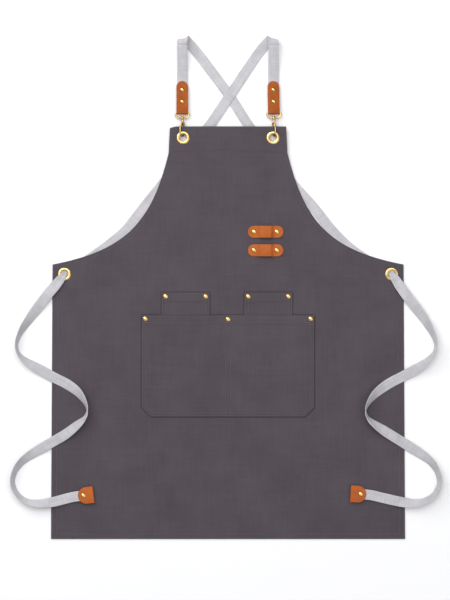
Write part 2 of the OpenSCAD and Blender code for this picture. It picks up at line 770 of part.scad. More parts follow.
module strap_lead(side) color(webbing_colour) band(followed(side == left ? lead_left : lead_right));

module strap(side) color(webbing_colour) difference() {
  band(strap_rows(side));
  tie_end(-side) translate([tie_rivet_x, 0, -5]) cylinder(d = post_d + 2 * fit, h = 10, $fn = small_fn);
}

// ---- Tie ends ----

// Leather folded over the end of the tie: a straight fold on one side, round on the other
module tie_tab() color(leather_colour) difference() {
  intersection() {
    union() {
      translate([-tie_r, -tie_r, -tab_t / 2]) cube([tie_r + tie_l - tab_t / 2, 2 * tie_r, tab_t]);
      translate([tie_l - tab_t / 2, 0, 0]) rotate([90, 0, 0])
        cylinder(d = tab_t, h = 2 * tie_r, center = true);
    }
    linear_extrude(10, center = true) union() {
      circle(r = tie_r);
      translate([0, -tie_r]) square([tie_l, 2 * tie_r]);
    }
  }
  translate([-2 * tie_r, -2 * tie_r, -strap_t / 2 - fit / 2]) cube([2 * tie_r + 9, 4 * tie_r, strap_t + fit]);
  translate([tie_rivet_x, 0, -5]) cylinder(d = post_d + 2 * fit, h = 10, $fn = small_fn);
}

module tie_rivet() color(brass_colour) translate([tie_rivet_x, 0, tab_t / 2]) rivet(rivet_cap_d, tab_t);
module tie_rivet_back() color(brass_colour) translate([tie_rivet_x, 0, tab_t / 2]) rivet_back(tab_t);

// ---- The apron ----

apron_panel();
bib_facing();
side_hem(left);  // side_hem_left
side_hem(right);  // side_hem_right
bottom_hem();
armhole_hem(left);  // armhole_hem_left
armhole_hem(right);  // armhole_hem_right
pocket_large();
pen_pocket(left);  // pen_pocket_left
pen_pocket(right);  // pen_pocket_right
pocket_rivets();
pocket_rivet_backs();
tool_loop(loop_upper_y);  // tool_loop_upper
tool_loop(loop_lower_y);  // tool_loop_lower
tool_loop_rivets();
tool_loop_rivet_backs();
at_bib_eyelet(left) eyelet(2 * canvas_t);  // bib_eyelet_left
at_bib_eyelet(right) eyelet(2 * canvas_t);  // bib_eyelet_right
at_waist_eyelet(left) eyelet(canvas_t);  // waist_eyelet_left
at_waist_eyelet(right) eyelet(canvas_t);  // waist_eyelet_right
at_bib_eyelet(left) washer(2 * canvas_t);  // bib_washer_left
at_bib_eyelet(right) washer(2 * canvas_t);  // bib_washer_right
at_waist_eyelet(left) washer(canvas_t);  // waist_washer_left
at_waist_eyelet(right) washer(canvas_t);  // waist_washer_right
strap_end(left) strap_tab();  // strap_tab_left
strap_end(right) strap_tab();  // strap_tab_right
strap_end(left) strap_stub();  // strap_stub_left
strap_end(right) strap_stub();  // strap_stub_right
strap_end(left) tab_rivets();  // tab_rivets_left
strap_end(right) tab_rivets();  // tab_rivets_right
strap_end(left) tab_rivet_backs();  // tab_rivet_backs_left
strap_end(right) tab_rivet_backs();  // tab_rivet_backs_right
strap_end(left) buckle();  // buckle_left
strap_end(right) buckle();  // buckle_right
hook_frame(left) hook();  // hook_left
hook_frame(right) hook();  // hook_right
hook_frame(left) gate();  // gate_left
hook_frame(right) gate();  // gate_right
hook_frame(left) gate_pin();  // gate_pin_left
hook_frame(right) gate_pin();  // gate_pin_right
hook_frame(left) gate_spring();  // gate_spring_left
hook_frame(right) gate_spring();  // gate_spring_right
strap_lead(left);  // strap_lead_left
strap_lead(right);  // strap_lead_right
strap(left);  // strap_left
strap(right);  // strap_right
tie_end(left) tie_tab();  // tie_tab_left
tie_end(right) tie_tab();  // tie_tab_right
tie_end(left) tie_rivet();  // tie_rivet_left
tie_end(right) tie_rivet();  // tie_rivet_right
tie_end(left) tie_rivet_back();  // tie_rivet_back_left
tie_end(right) tie_rivet_back();  // tie_rivet_back_right
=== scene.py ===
# Cross-back smock apron, laid face up on a pale table with its straps spread out
import math

import bmesh
import bpy
import numpy as np
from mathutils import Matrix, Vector, geometry, noise


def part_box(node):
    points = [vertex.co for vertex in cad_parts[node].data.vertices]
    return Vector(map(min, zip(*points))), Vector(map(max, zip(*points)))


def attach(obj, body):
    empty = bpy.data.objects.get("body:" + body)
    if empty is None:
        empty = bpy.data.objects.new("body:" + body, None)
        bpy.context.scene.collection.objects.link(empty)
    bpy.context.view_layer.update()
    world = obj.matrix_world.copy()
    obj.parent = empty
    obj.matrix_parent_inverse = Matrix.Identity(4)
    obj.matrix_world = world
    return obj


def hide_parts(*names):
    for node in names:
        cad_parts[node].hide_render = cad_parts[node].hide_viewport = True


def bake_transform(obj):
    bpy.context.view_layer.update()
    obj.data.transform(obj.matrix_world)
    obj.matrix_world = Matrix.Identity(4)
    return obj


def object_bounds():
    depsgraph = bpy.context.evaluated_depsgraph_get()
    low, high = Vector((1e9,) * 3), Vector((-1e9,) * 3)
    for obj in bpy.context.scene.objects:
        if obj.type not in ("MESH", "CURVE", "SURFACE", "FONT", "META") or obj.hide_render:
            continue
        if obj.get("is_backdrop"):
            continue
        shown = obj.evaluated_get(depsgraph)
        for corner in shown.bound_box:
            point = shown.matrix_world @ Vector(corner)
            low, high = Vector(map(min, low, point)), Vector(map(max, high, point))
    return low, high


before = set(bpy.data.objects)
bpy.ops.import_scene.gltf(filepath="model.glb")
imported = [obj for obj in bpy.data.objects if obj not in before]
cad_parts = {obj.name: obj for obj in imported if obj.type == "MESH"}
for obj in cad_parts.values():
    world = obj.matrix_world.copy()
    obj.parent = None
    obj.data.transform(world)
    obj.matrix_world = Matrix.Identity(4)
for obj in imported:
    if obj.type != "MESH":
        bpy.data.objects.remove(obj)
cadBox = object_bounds()
scene = bpy.context.scene
scene.view_settings.view_transform = "Standard"
scene.view_settings.look = "None"
print("frame: loaded", len(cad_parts), "nodes")


# The camera looks straight down at the table
camera = {"aimX": -0.006, "aimY": 0.020, "height": 5.0, "seenHeight": 1.183, "sensor": 36, "farthest": 50}

cameraData = bpy.data.cameras.new("camera")
cameraData.lens = camera["sensor"] * camera["height"] / camera["seenHeight"]
cameraData.clip_end = camera["farthest"]
cameraObject = bpy.data.objects.new("camera", cameraData)
cameraObject.location = (camera["aimX"], camera["aimY"], camera["height"])
scene.collection.objects.link(cameraObject)
scene.camera = cameraObject


def softbox(name, place, aim, size, power):
    data = bpy.data.lights.new(name, "AREA")
    data.shape = "RECTANGLE"
    data.size, data.size_y = size
    data.energy = power
    lamp = bpy.data.objects.new(name, data)
    lamp.location = place
    lamp.rotation_mode = "QUATERNION"
    lamp.rotation_quaternion = (Vector(aim) - Vector(place)).to_track_quat("-Z", "Y")
    scene.collection.objects.link(lamp)


lights = {
    "keyLight": {"place": (-1.7, 1.9, 1.5), "aim": (0, 0, 0), "size": (2.0, 1.4), "power": 34},
    "topLight": {"place": (-0.5, 1.3, 3.2), "aim": (0, 0.1, 0), "size": (3.4, 2.4), "power": 58},
    "fillLight": {"place": (1.9, -1.0, 2.4), "aim": (0, 0, 0), "size": (2.6, 2.2), "power": 14},
}
for lightName, light in lights.items():
    softbox(lightName, **light)

# A dim horizon under a bright sky gives the metal its dark edges
sky = {"tint": (0.98, 0.985, 1.0, 1), "horizon": 0.15, "overhead": 0.75, "dim": 0.10, "bright": 0.66}

world = bpy.data.worlds.new("studio")
world.use_nodes = True
backdrop = world.node_tree.nodes["Background"]
backdrop.inputs["Color"].default_value = sky["tint"]
lookUp = world.node_tree.nodes.new("ShaderNodeTexCoord")
upward = world.node_tree.nodes.new("ShaderNodeSeparateXYZ")
glow = world.node_tree.nodes.new("ShaderNodeMapRange")
for socket, key in (("From Min", "horizon"), ("From Max", "overhead"), ("To Min", "dim"), ("To Max", "bright")):
    glow.inputs[socket].default_value = sky[key]
world.node_tree.links.new(lookUp.outputs["Generated"], upward.inputs[0])
world.node_tree.links.new(upward.outputs["Z"], glow.inputs["Value"])
world.node_tree.links.new(glow.outputs["Result"], backdrop.inputs["Strength"])
scene.world = world


def addNode(tree, kind, links=None, **settings):  # links holds sockets to join or plain values to set
    node = tree.nodes.new(kind)
    for key, value in settings.items():
        setattr(node, key, value)
    for key, value in (links or {}).items():
        if isinstance(value, bpy.types.NodeSocket):
            tree.links.new(value, node.inputs[key])
        else:
            node.inputs[key].default_value = value
    return node


def maths(tree, operation, *values):
    return addNode(tree, "ShaderNodeMath", dict(enumerate(values)), operation=operation).outputs[0]


def cloudy(tree, place, scale, detail, **more):  # soft noise from 0 to 1
    return addNode(tree, "ShaderNodeTexNoise",
                   {"Vector": place, "Scale": scale, "Detail": detail, **more}).outputs["Fac"]


def addBump(tree, shader, height, distance, strength):
    bump = addNode(tree, "ShaderNodeBump", {"Height": height, "Distance": distance, "Strength": strength})
    tree.links.new(bump.outputs["Normal"], shader.inputs["Normal"])


def newGroup(name, takes, gives):
    tree = bpy.data.node_groups.new(name, "ShaderNodeTree")
    for socket, kind, value in takes:
        made = tree.interface.new_socket(socket, in_out="INPUT", socket_type=kind)
        if value is not None:
            made.default_value = value
    for socket in gives:
        tree.interface.new_socket(socket, in_out="OUTPUT", socket_type="NodeSocketFloat")
    return tree, tree.nodes.new("NodeGroupInput"), tree.nodes.new("NodeGroupOutput")


def useGroup(tree, group, links):
    return addNode(tree, "ShaderNodeGroup", links, node_tree=group)


def weaveGroup():  # plain weave: threads pass over and under by turns
    tree, given, made = newGroup(
        "plainWeave",
        [("Vector", "NodeSocketVector", None), ("Threads", "NodeSocketFloat", 1000.0),
         ("Twill", "NodeSocketFloat", 0.0)],
        ["Height"],
    )
    split = addNode(tree, "ShaderNodeSeparateXYZ", {0: given.outputs["Vector"]})
    across = maths(tree, "MULTIPLY", split.outputs["X"], given.outputs["Threads"])
    along = maths(tree, "MULTIPLY", split.outputs["Y"], given.outputs["Threads"])
    warp = maths(tree, "ABSOLUTE", maths(tree, "SINE", maths(tree, "MULTIPLY", across, math.pi)))
    weft = maths(tree, "ABSOLUTE", maths(tree, "SINE", maths(tree, "MULTIPLY", along, math.pi)))
    step = maths(tree, "ADD", maths(tree, "FLOOR", across), maths(tree, "FLOOR", along))
    turn = maths(tree, "FLOORED_MODULO", step, 2.0)
    over = maths(tree, "MULTIPLY", warp, maths(tree, "MULTIPLY_ADD", weft, 0.35, 0.65))
    under = maths(tree, "MULTIPLY", weft, maths(tree, "MULTIPLY_ADD", warp, 0.35, 0.65))
    pick = maths(tree, "MULTIPLY", over, turn)
    other = maths(tree, "MULTIPLY", under, maths(tree, "SUBTRACT", 1.0, turn))
    plain = maths(tree, "ADD", pick, other)
    slant = maths(tree, "SINE", maths(tree, "MULTIPLY", maths(tree, "ADD", across, along), math.pi))
    twill = maths(tree, "MULTIPLY", maths(tree, "MULTIPLY_ADD", slant, 0.5, 0.5), given.outputs["Twill"])
    tree.links.new(maths(tree, "ADD", plain, twill), made.inputs["Height"])
    return tree


def mottleGroup():  # slow cloudy change of tone, with fine streaks along and across the threads
    tree, given, made = newGroup(
        "mottle",
        [("Vector", "NodeSocketVector", None), ("Clouds", "NodeSocketFloat", 12.0),
         ("Streaks", "NodeSocketFloat", 260.0), ("Streak Share", "NodeSocketFloat", 0.5)],
        ["Tone"],
    )
    total = cloudy(tree, given.outputs["Vector"], given.outputs["Clouds"], 5.0, Roughness=0.6)
    for stretch in ((1.0, 0.045, 1.0), (0.045, 1.0, 1.0)):
        longWay = addNode(tree, "ShaderNodeVectorMath", {0: given.outputs["Vector"], 1: stretch},
                          operation="MULTIPLY")
        streak = cloudy(tree, longWay.outputs[0], given.outputs["Streaks"], 3.0, Roughness=0.7)
        part = maths(tree, "MULTIPLY", maths(tree, "SUBTRACT", streak, 0.5), given.outputs["Streak Share"])
        total = maths(tree, "ADD", total, part)
    tree.links.new(total, made.inputs["Tone"])
    return tree


def grainGroup():  # leather: pores between small raised cells, and broad soft creases
    tree, given, made = newGroup(
        "leatherGrain", [("Vector", "NodeSocketVector", None), ("Cells", "NodeSocketFloat", 1100.0)],
        ["Height", "Tone"])
    warped = addNode(tree, "ShaderNodeTexNoise", {"Vector": given.outputs["Vector"], "Scale": 420.0, "Detail": 3.0})
    nudge = addNode(tree, "ShaderNodeVectorMath", {0: warped.outputs["Color"], 1: (0.0006, 0.0006, 0.0006)},
                    operation="MULTIPLY")
    moved = addNode(tree, "ShaderNodeVectorMath", {0: given.outputs["Vector"], 1: nudge.outputs[0]}, operation="ADD")
    cells = addNode(tree, "ShaderNodeTexVoronoi", {"Vector": moved.outputs[0], "Scale": given.outputs["Cells"]},
                    feature="DISTANCE_TO_EDGE")
    raised = maths(tree, "MINIMUM", maths(tree, "MULTIPLY", cells.outputs["Distance"], 5.0), 1.0)
    crease = cloudy(tree, given.outputs["Vector"], 95.0, 4.0)
    tree.links.new(maths(tree, "MULTIPLY_ADD", crease, 0.9, raised), made.inputs["Height"])
    tree.links.new(cloudy(tree, given.outputs["Vector"], 38.0, 6.0, Roughness=0.62), made.inputs["Tone"])
    return tree


plainWeave, mottle, leatherGrain = weaveGroup(), mottleGroup(), grainGroup()


def newMaterial(name, **constants):
    material = bpy.data.materials.new(name)
    material.use_nodes = True
    shader = material.node_tree.nodes["Principled BSDF"]
    for key, value in constants.items():
        shader.inputs[key.replace("_", " ")].default_value = value
    return material, material.node_tree, shader


def blendColour(tree, factor, dark, light):
    return addNode(tree, "ShaderNodeMix", {"Factor": factor, "A": (*dark, 1), "B": (*light, 1)},
                   data_type="RGBA").outputs["Result"]


def blendOf(tree, factor, a, b):
    mix = addNode(tree, "ShaderNodeMix", {"Factor": factor}, data_type="RGBA")
    tree.links.new(a, mix.inputs["A"])
    if isinstance(b, bpy.types.NodeSocket):
        tree.links.new(b, mix.inputs["B"])
    else:
        mix.inputs["B"].default_value = (*b, 1)
    return mix.outputs["Result"]


def spread(tree, value, low, high):
    return addNode(tree, "ShaderNodeMapRange", {"Value": value, "From Min": low, "From Max": high}).outputs["Result"]


def clothMaterial(name, finish):  # woven goods: threads, mottled dye and a dull sheen
    material, tree, shader = newMaterial(name, Sheen_Weight=finish["sheen"], Sheen_Roughness=0.6,
                                         Specular_IOR_Level=0.25)
    place = tree.nodes.new("ShaderNodeTexCoord").outputs["UV" if finish["byUv"] else "Object"]
    weave = useGroup(tree, plainWeave, {"Vector": place, "Threads": finish["threads"], "Twill": finish["twill"]})
    tone = useGroup(tree, mottle, {"Vector": place, "Clouds": finish["clouds"], "Streaks": finish["streaks"],
                                   "Streak Share": finish["streakShare"]})
    shade = spread(tree, tone.outputs["Tone"], 0.25, 0.75)
    ground = blendColour(tree, shade, finish["dark"], finish["light"])
    gaps = spread(tree, weave.outputs["Height"], 0.05, 0.5)
    colour = blendOf(tree, maths(tree, "MULTIPLY", maths(tree, "SUBTRACT", 1.0, gaps), finish["gapDepth"]),
                     ground, finish["gap"])
    crease = addNode(tree, "ShaderNodeAttribute", attribute_name="crease").outputs["Fac"]  # painted shade in folds, along seams and round rolled rims
    # painted shade: the crease attribute blends the cloth towards its dark gap colour
    colour = blendOf(tree, maths(tree, "MULTIPLY", crease, finish["creaseShadeDepth"]), colour, finish["gap"])
    tree.links.new(colour, shader.inputs["Base Color"])
    tree.links.new(spread(tree, tone.outputs["Tone"], -1.2, 1.4), shader.inputs["Roughness"])
    addBump(tree, shader, weave.outputs["Height"], finish["relief"], 0.8)
    shader.inputs["Roughness"].default_value = 0.85
    return material


canvasFinish = {
    "dark": (0.062, 0.050, 0.061), "light": (0.092, 0.075, 0.091), "gap": (0.030, 0.023, 0.029),
    "gapDepth": 0.4, "creaseShadeDepth": 0.75, "threads": 1700.0, "twill": 0.0, "clouds": 11.0, "streaks": 330.0,
    "streakShare": 0.55, "relief": 0.00016, "sheen": 0.12, "byUv": False}
canvas = clothMaterial("canvas", canvasFinish)
canvasTurned = clothMaterial("canvasTurned", {
    **canvasFinish, "dark": (0.058, 0.046, 0.057), "light": (0.084, 0.068, 0.083), "gap": (0.028, 0.021, 0.027)})
webbing = clothMaterial("webbing", {
    "dark": (0.47, 0.46, 0.485), "light": (0.65, 0.635, 0.665), "gap": (0.27, 0.265, 0.285),
    "gapDepth": 0.55, "creaseShadeDepth": 0.5,
    "threads": 720.0, "twill": 0.5, "clouds": 30.0, "streaks": 300.0, "streakShare": 0.6, "relief": 0.00035,
    "sheen": 0.1, "byUv": True})


def leatherMaterial(name, finish):  # smooth hide with darker pores and raw cut sides
    material, tree, shader = newMaterial(name, Coat_Weight=0.03, Coat_Roughness=0.35, Specular_IOR_Level=0.22)
    place = tree.nodes.new("ShaderNodeTexCoord").outputs["Object"]
    grain = useGroup(tree, leatherGrain, {"Vector": place, "Cells": finish["cells"]})
    face = blendColour(tree, spread(tree, grain.outputs["Tone"], 0.3, 0.7), finish["dark"], finish["light"])
    raised = spread(tree, grain.outputs["Height"], 0.3, 0.9)
    pores = maths(tree, "MULTIPLY", maths(tree, "SUBTRACT", 1.0, raised), 0.5)
    worn = blendOf(tree, pores, face, finish["pore"])
    raw = addNode(tree, "ShaderNodeAttribute", attribute_name="rawEdge").outputs["Fac"]
    tree.links.new(blendOf(tree, raw, worn, finish["edge"]), shader.inputs["Base Color"])
    tree.links.new(maths(tree, "MULTIPLY_ADD", grain.outputs["Tone"], 0.35, finish["roughness"]),
                   shader.inputs["Roughness"])
    addBump(tree, shader, grain.outputs["Height"], 0.00012, 0.7)
    return material


strapLeather = leatherMaterial("strapLeather", {
    "dark": (0.315, 0.064, 0.003), "light": (0.455, 0.105, 0.006), "pore": (0.18, 0.034, 0.003),
    "edge": (0.15, 0.031, 0.004), "cells": 1200.0, "roughness": 0.32})
loopLeather = leatherMaterial("loopLeather", {
    "dark": (0.40, 0.088, 0.012), "light": (0.56, 0.138, 0.022), "pore": (0.25, 0.050, 0.008),
    "edge": (0.20, 0.042, 0.009), "cells": 1200.0, "roughness": 0.34})


def metalMaterial(name, finish):  # polished metal, faintly cloudy and scuffed, with painted shade on its steep flanks
    material, tree, shader = newMaterial(name, Metallic=1.0)
    place = tree.nodes.new("ShaderNodeTexCoord").outputs["Object"]
    cloud = cloudy(tree, place, 160.0, 4.0)
    clean = blendColour(tree, spread(tree, cloud, 0.3, 0.7), finish["dark"], finish["light"])
    facing = addNode(tree, "ShaderNodeSeparateXYZ",
                     {"Vector": tree.nodes.new("ShaderNodeTexCoord").outputs["Normal"]}).outputs["Z"]
    # painted shade: faces turned away from straight up blend towards a dark colour
    flank = spread(tree, maths(tree, "SUBTRACT", 1.0, maths(tree, "ABSOLUTE", facing, 0.0)), 0.05, 0.50)
    tree.links.new(blendOf(tree, flank, clean, finish["flankShade"]), shader.inputs["Base Color"])
    tree.links.new(maths(tree, "MULTIPLY_ADD", cloud, 0.12, finish["roughness"]),
                   shader.inputs["Roughness"])
    addBump(tree, shader, cloudy(tree, place, 2600.0, 2.0), 0.00002, 0.35)
    return material


brass = metalMaterial("brass", {
    "dark": (0.66, 0.41, 0.12), "light": (0.90, 0.64, 0.28), "flankShade": (0.25, 0.11, 0.017), "roughness": 0.10})
steel = metalMaterial("steel", {
    "dark": (0.42, 0.42, 0.43), "light": (0.60, 0.60, 0.62), "flankShade": (0.25, 0.24, 0.24), "roughness": 0.3})


def threadMaterial(name, dark, light):
    material, tree, shader = newMaterial(name, Sheen_Weight=0.2)
    place = tree.nodes.new("ShaderNodeTexCoord").outputs["Object"]
    twist = cloudy(tree, place, 1800.0, 2.0)
    tree.links.new(blendColour(tree, spread(tree, twist, 0.35, 0.65), dark, light),
                   shader.inputs["Base Color"])
    tree.links.new(maths(tree, "MULTIPLY_ADD", twist, 0.2, 0.5), shader.inputs["Roughness"])
    return material


thread = threadMaterial("thread", (0.140, 0.119, 0.139), (0.21, 0.18, 0.208))


def tableMaterial():
    material, tree, shader = newMaterial("table", Roughness=0.9, Specular_IOR_Level=0.1)
    place = tree.nodes.new("ShaderNodeTexCoord").outputs["Object"]
    dust = cloudy(tree, place, 3.0, 2.0)
    tree.links.new(blendColour(tree, dust, (0.93, 0.93, 0.94), (0.96, 0.96, 0.97)),
                   shader.inputs["Base Color"])
    return material


def placeMesh(name, mesh):
    piece = bpy.data.objects.new(name, mesh)
    scene.collection.objects.link(piece)
    return piece


def meshObject(name, points, faces, material, smooth=True):
    mesh = bpy.data.meshes.new(name)
    mesh.from_pydata([tuple(map(float, p)) for p in points], [], faces)
    mesh.validate()
    mesh.materials.append(material)
    if smooth:
        mesh.polygons.foreach_set("use_smooth", [True] * len(mesh.polygons))
    return placeMesh(name, mesh)


table = meshObject("table", [(-6, -6, 0), (6, -6, 0), (6, 6, 0), (-6, 6, 0)], [(0, 1, 2, 3)], tableMaterial(), False)
table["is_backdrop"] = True
print("studio: camera, lights and table")


# The straps: two lengths of webbing and their short leads
webbingSize = {"width": 0.020, "thickness": 0.0012, "sample": 0.004}
shoulderFold = {"steps": 6, "radius": 0.007, "shift": 0.010, "slope": 19, "lowest": 0.0009,
                "leadGap": 0.0003, "foldGap": 0.0045, "foldLift": 0.0002}

# x, y, height of the middle and bank in degrees, then the width where the webbing is gathered
leftLead = [
    (-0.0902, 0.4518, 0.0038, 0), (-0.0902, 0.472, 0.0054, 0), (-0.0902, 0.492, 0.0092, 0),
    (-0.0902, 0.511, 0.0132, 0), (-0.0902, 0.522, 0.0147, 0),
]
rightLead = [
    (0.0891, 0.4518, 0.0038, 0), (0.0893, 0.472, 0.0054, 0), (0.0894, 0.492, 0.0092, 0),
    (0.0895, 0.511, 0.0132, 0), (0.0896, 0.522, 0.0147, 0),
]
leftRun = [  # from the left shoulder, under the crossing, to the right waist eyelet and the right tie
    (-0.066, 0.514, 0.0007, 0), (0.003, 0.422, 0.0007, 0), (0.042, 0.362, 0.0007, 0),
    (0.126, 0.251, 0.0007, 0), (0.169, 0.202, 0.0007, 0), (0.205, 0.157, 0.0007, 0),
    (0.24, 0.1225, 0.0007, 0), (0.272, 0.1, 0.0007, 0), (0.298, 0.084, 0.0007, 0),
    (0.309, 0.0775, 0.0007, 0, 0.013), (0.3168, 0.073, 0.0008, 0, 0.0076), (0.3206, 0.0716, 0.0029, 0, 0.0094),
    (0.3252, 0.067, 0.0055, 0, 0.015), (0.3306, 0.0594, 0.0063, 0, 0.018), (0.338, 0.048, 0.0068, 0),
    (0.35, 0.031, 0.0068, 0), (0.364, 0.013, 0.0064, 5), (0.386, -0.017, 0.0058, 30),
    (0.403, -0.047, 0.0093, 62), (0.409, -0.068, 0.01, 78), (0.406, -0.083, 0.01, 78),
    (0.393, -0.099, 0.009, 58), (0.377, -0.112, 0.0062, 28), (0.36, -0.122, 0.0048, 4),
    (0.345, -0.13, 0.0038, 0), (0.315, -0.146, 0.0036, 0), (0.292, -0.163, 0.0086, -32),
    (0.277, -0.181, 0.0121, -62), (0.271, -0.197, 0.0129, -82), (0.274, -0.21, 0.0129, -76),
    (0.284, -0.221, 0.0116, -54), (0.31, -0.239, 0.0064, -15), (0.345, -0.261, 0.0038, 0),
    (0.358, -0.269, 0.0038, 0), (0.378, -0.282, 0.004, 16), (0.399, -0.298, 0.0072, 42),
    (0.412, -0.318, 0.0091, 60), (0.416, -0.341, 0.0095, 66), (0.405, -0.364, 0.0095, 66),
    (0.384, -0.377, 0.0088, 56), (0.362, -0.38, 0.0079, 36), (0.338, -0.377, 0.0064, 12),
    (0.306, -0.37, 0.0048, 0), (0.28, -0.364, 0.006, 0), (0.25, -0.3619, 0.006, 0),
]
rightRun = [  # from the right shoulder, over the crossing, to the left waist eyelet and the left tie
    (0.065, 0.513, 0.0007, 0), (0.033, 0.467, 0.0013, 0), (0.003, 0.422, 0.0021, 0),
    (-0.038, 0.362, 0.0012, 0), (-0.124, 0.255, 0.0007, 0), (-0.169, 0.199, 0.0007, 0),
    (-0.2, 0.159, 0.0007, 0), (-0.228, 0.134, 0.0007, 0), (-0.274, 0.101, 0.0007, 0),
    (-0.299, 0.085, 0.0007, 0), (-0.3095, 0.0778, 0.0007, 0, 0.013), (-0.3168, 0.073, 0.0008, 0, 0.0076),
    (-0.3206, 0.0716, 0.0029, 0, 0.0094), (-0.3254, 0.067, 0.0055, 0, 0.015), (-0.3314, 0.0594, 0.0063, 0, 0.018),
    (-0.34, 0.0486, 0.0068, 0), (-0.354, 0.032, 0.0068, 0), (-0.368, 0.014, 0.0064, -6),
    (-0.391, -0.017, 0.006, -32), (-0.408, -0.043, 0.0091, -60), (-0.416, -0.066, 0.01, -78),
    (-0.413, -0.084, 0.01, -78), (-0.401, -0.098, 0.009, -58), (-0.381, -0.111, 0.0062, -28),
    (-0.363, -0.121, 0.0049, -6), (-0.346, -0.131, 0.0038, 0), (-0.317, -0.146, 0.0036, 0),
    (-0.296, -0.161, 0.0084, 30), (-0.282, -0.18, 0.0121, 62), (-0.277, -0.197, 0.0129, 82),
    (-0.282, -0.212, 0.0125, 70), (-0.298, -0.227, 0.0096, 36), (-0.321, -0.245, 0.0052, 8),
    (-0.348, -0.261, 0.0038, 0), (-0.362, -0.269, 0.0038, 0), (-0.384, -0.282, 0.0044, -20),
    (-0.406, -0.298, 0.0073, -44), (-0.42, -0.318, 0.0091, -60), (-0.424, -0.341, 0.0096, -68),
    (-0.415, -0.362, 0.0096, -68), (-0.398, -0.376, 0.009, -60), (-0.374, -0.381, 0.0078, -40),
    (-0.346, -0.378, 0.0066, -18), (-0.318, -0.371, 0.0048, 0), (-0.302, -0.3674, 0.006, 0),
    (-0.273, -0.3639, 0.006, 0),
]


def withWidths(rows):
    return [(*row, webbingSize["width"])[:5] for row in rows]


leftLead, rightLead, leftRun, rightRun = map(withWidths, (leftLead, rightLead, leftRun, rightRun))


def shoulderRows(side, lead):  # half a turn over a sloping line, from the upper layer to the lower
    fold = shoulderFold
    x0, y0, z0, bank0, width = lead[-1]
    rows = [(x0, y0 + fold["leadGap"], z0, bank0, width)]
    slope = math.radians(fold["slope"])
    for i in range(fold["steps"] + 1):
        turn = math.pi * i / fold["steps"]
        out = fold["radius"] * math.sin(turn)
        over = fold["shift"] * i / fold["steps"]
        bank = math.acos(math.cos(turn) / math.sqrt(1 - (math.cos(slope) * math.sin(turn)) ** 2))
        rows.append((
            x0 - side * (over * math.cos(slope) - out * math.sin(slope)),
            y0 + fold["foldGap"] + over * math.sin(slope) + out * math.cos(slope),
            fold["lowest"] + fold["radius"] * (1 + math.cos(turn)),
            side * math.degrees(bank), width))
    return rows


def strapRows(side, lead, run):
    return shoulderRows(side, lead) + [(x, y, z, bank + side * 180, width) for x, y, z, bank, width in run]


def ringFrames(rows):  # place and face direction at each row
    places = [Vector(r[:3]) for r in rows]
    faces = []
    for i, row in enumerate(rows):
        along = (places[min(i + 1, len(rows) - 1)] - places[max(i - 1, 0)]).normalized()
        up = (Vector((0, 0, 1)) - along.z * along).normalized()
        bank = math.radians(row[3])
        faces.append(math.cos(bank) * up + math.sin(bank) * along.cross(up))
    return places, faces, [r[4] for r in rows]


def smoothRoute(rows, sample):  # an even, smooth route through the rows
    places, faces, widths = ringFrames(rows)
    route = []
    for i in range(len(rows) - 1):
        before, after = places[max(i - 1, 0)], places[min(i + 2, len(rows) - 1)]
        a, b = places[i], places[i + 1]
        length = (b - a).length
        startWay = (b - before) * (length / max(1e-9, (b - a).length + (a - before).length))
        endWay = (after - a) * (length / max(1e-9, (b - a).length + (after - b).length))
        steps = max(2, round(length / sample))
        for k in range(steps if i < len(rows) - 2 else steps + 1):
            t = k / steps
            h = (2 * t**3 - 3 * t**2 + 1, t**3 - 2 * t**2 + t, 3 * t**2 - 2 * t**3, t**3 - t**2)
            ease = t * t * (3 - 2 * t)
            route.append((h[0] * a + h[1] * startWay + h[2] * b + h[3] * endWay,
                          faces[i].slerp(faces[i + 1], t), widths[i] * (1 - ease) + widths[i + 1] * ease))
    return route


def bandSection(width, thickness, gather):  # across and out from the middle, round the flat band
    crown, edge, points = 0.00008, thickness * 0.42, []
    lanes = [-1 + 2 * k / 10 for k in range(11)]

    def wave(lane):
        return gather * math.cos(lane * math.pi * 1.5)

    inner = width / 2 - edge
    for lane in lanes:
        points.append((lane * inner, thickness / 2 + crown * (1 - lane * lane) + wave(lane)))
    points.append((inner + edge * 0.8, thickness * 0.27 + wave(1)))
    points.append((inner + edge, wave(1)))
    points.append((inner + edge * 0.8, -thickness * 0.27 + wave(1)))
    for lane in reversed(lanes):
        points.append((lane * inner, -thickness / 2 - crown * (1 - lane * lane) + wave(lane)))
    points.append((-inner - edge * 0.8, -thickness * 0.27 + wave(-1)))
    points.append((-inner - edge, wave(-1)))
    points.append((-inner - edge * 0.8, thickness * 0.27 + wave(-1)))
    return points


def webbingMesh(name, rows, startRun=0.0):
    full, thickness = webbingSize["width"], webbingSize["thickness"]
    route = smoothRoute(rows, webbingSize["sample"])
    points, faces, corners = [], [], []
    run, last = startRun, None
    for i, (place, face, width) in enumerate(route):
        ahead, behind = route[min(i + 1, len(route) - 1)][0], route[max(i - 1, 0)][0]
        along = (ahead - behind).normalized()
        face = (face - face.dot(along) * along).normalized()
        across = along.cross(face)
        gathered = max(0.0, 1 - width / full) * min(1.0, max(0.0, (place.z - 0.0025) / 0.002))
        section = bandSection(width, thickness, 0.0016 * gathered)
        run += 0 if last is None else (place - last).length
        last = place
        for a, h in section:
            points.append(place + across * a + face * h)
            corners.append((a * full / width + 0.01, run))
    size = len(section)
    for i in range(len(route) - 1):
        for k in range(size):
            n = (k + 1) % size
            faces.append((i * size + k, (i + 1) * size + k, (i + 1) * size + n, i * size + n))
    faces.append(tuple(range(size)))
    faces.append(tuple(reversed(range((len(route) - 1) * size, len(route) * size))))
    piece = meshObject(name, points, faces, webbing)
    layer = piece.data.uv_layers.new(name="UVMap")
    for loop in piece.data.loops:
        layer.data[loop.index].uv = corners[loop.vertex_index]
    for end in piece.data.polygons[-2:]:  # the cut ends stay flat
        end.use_smooth = False
    tidyNormals(piece)
    return piece, [tuple(p) for p, _, _ in route], run


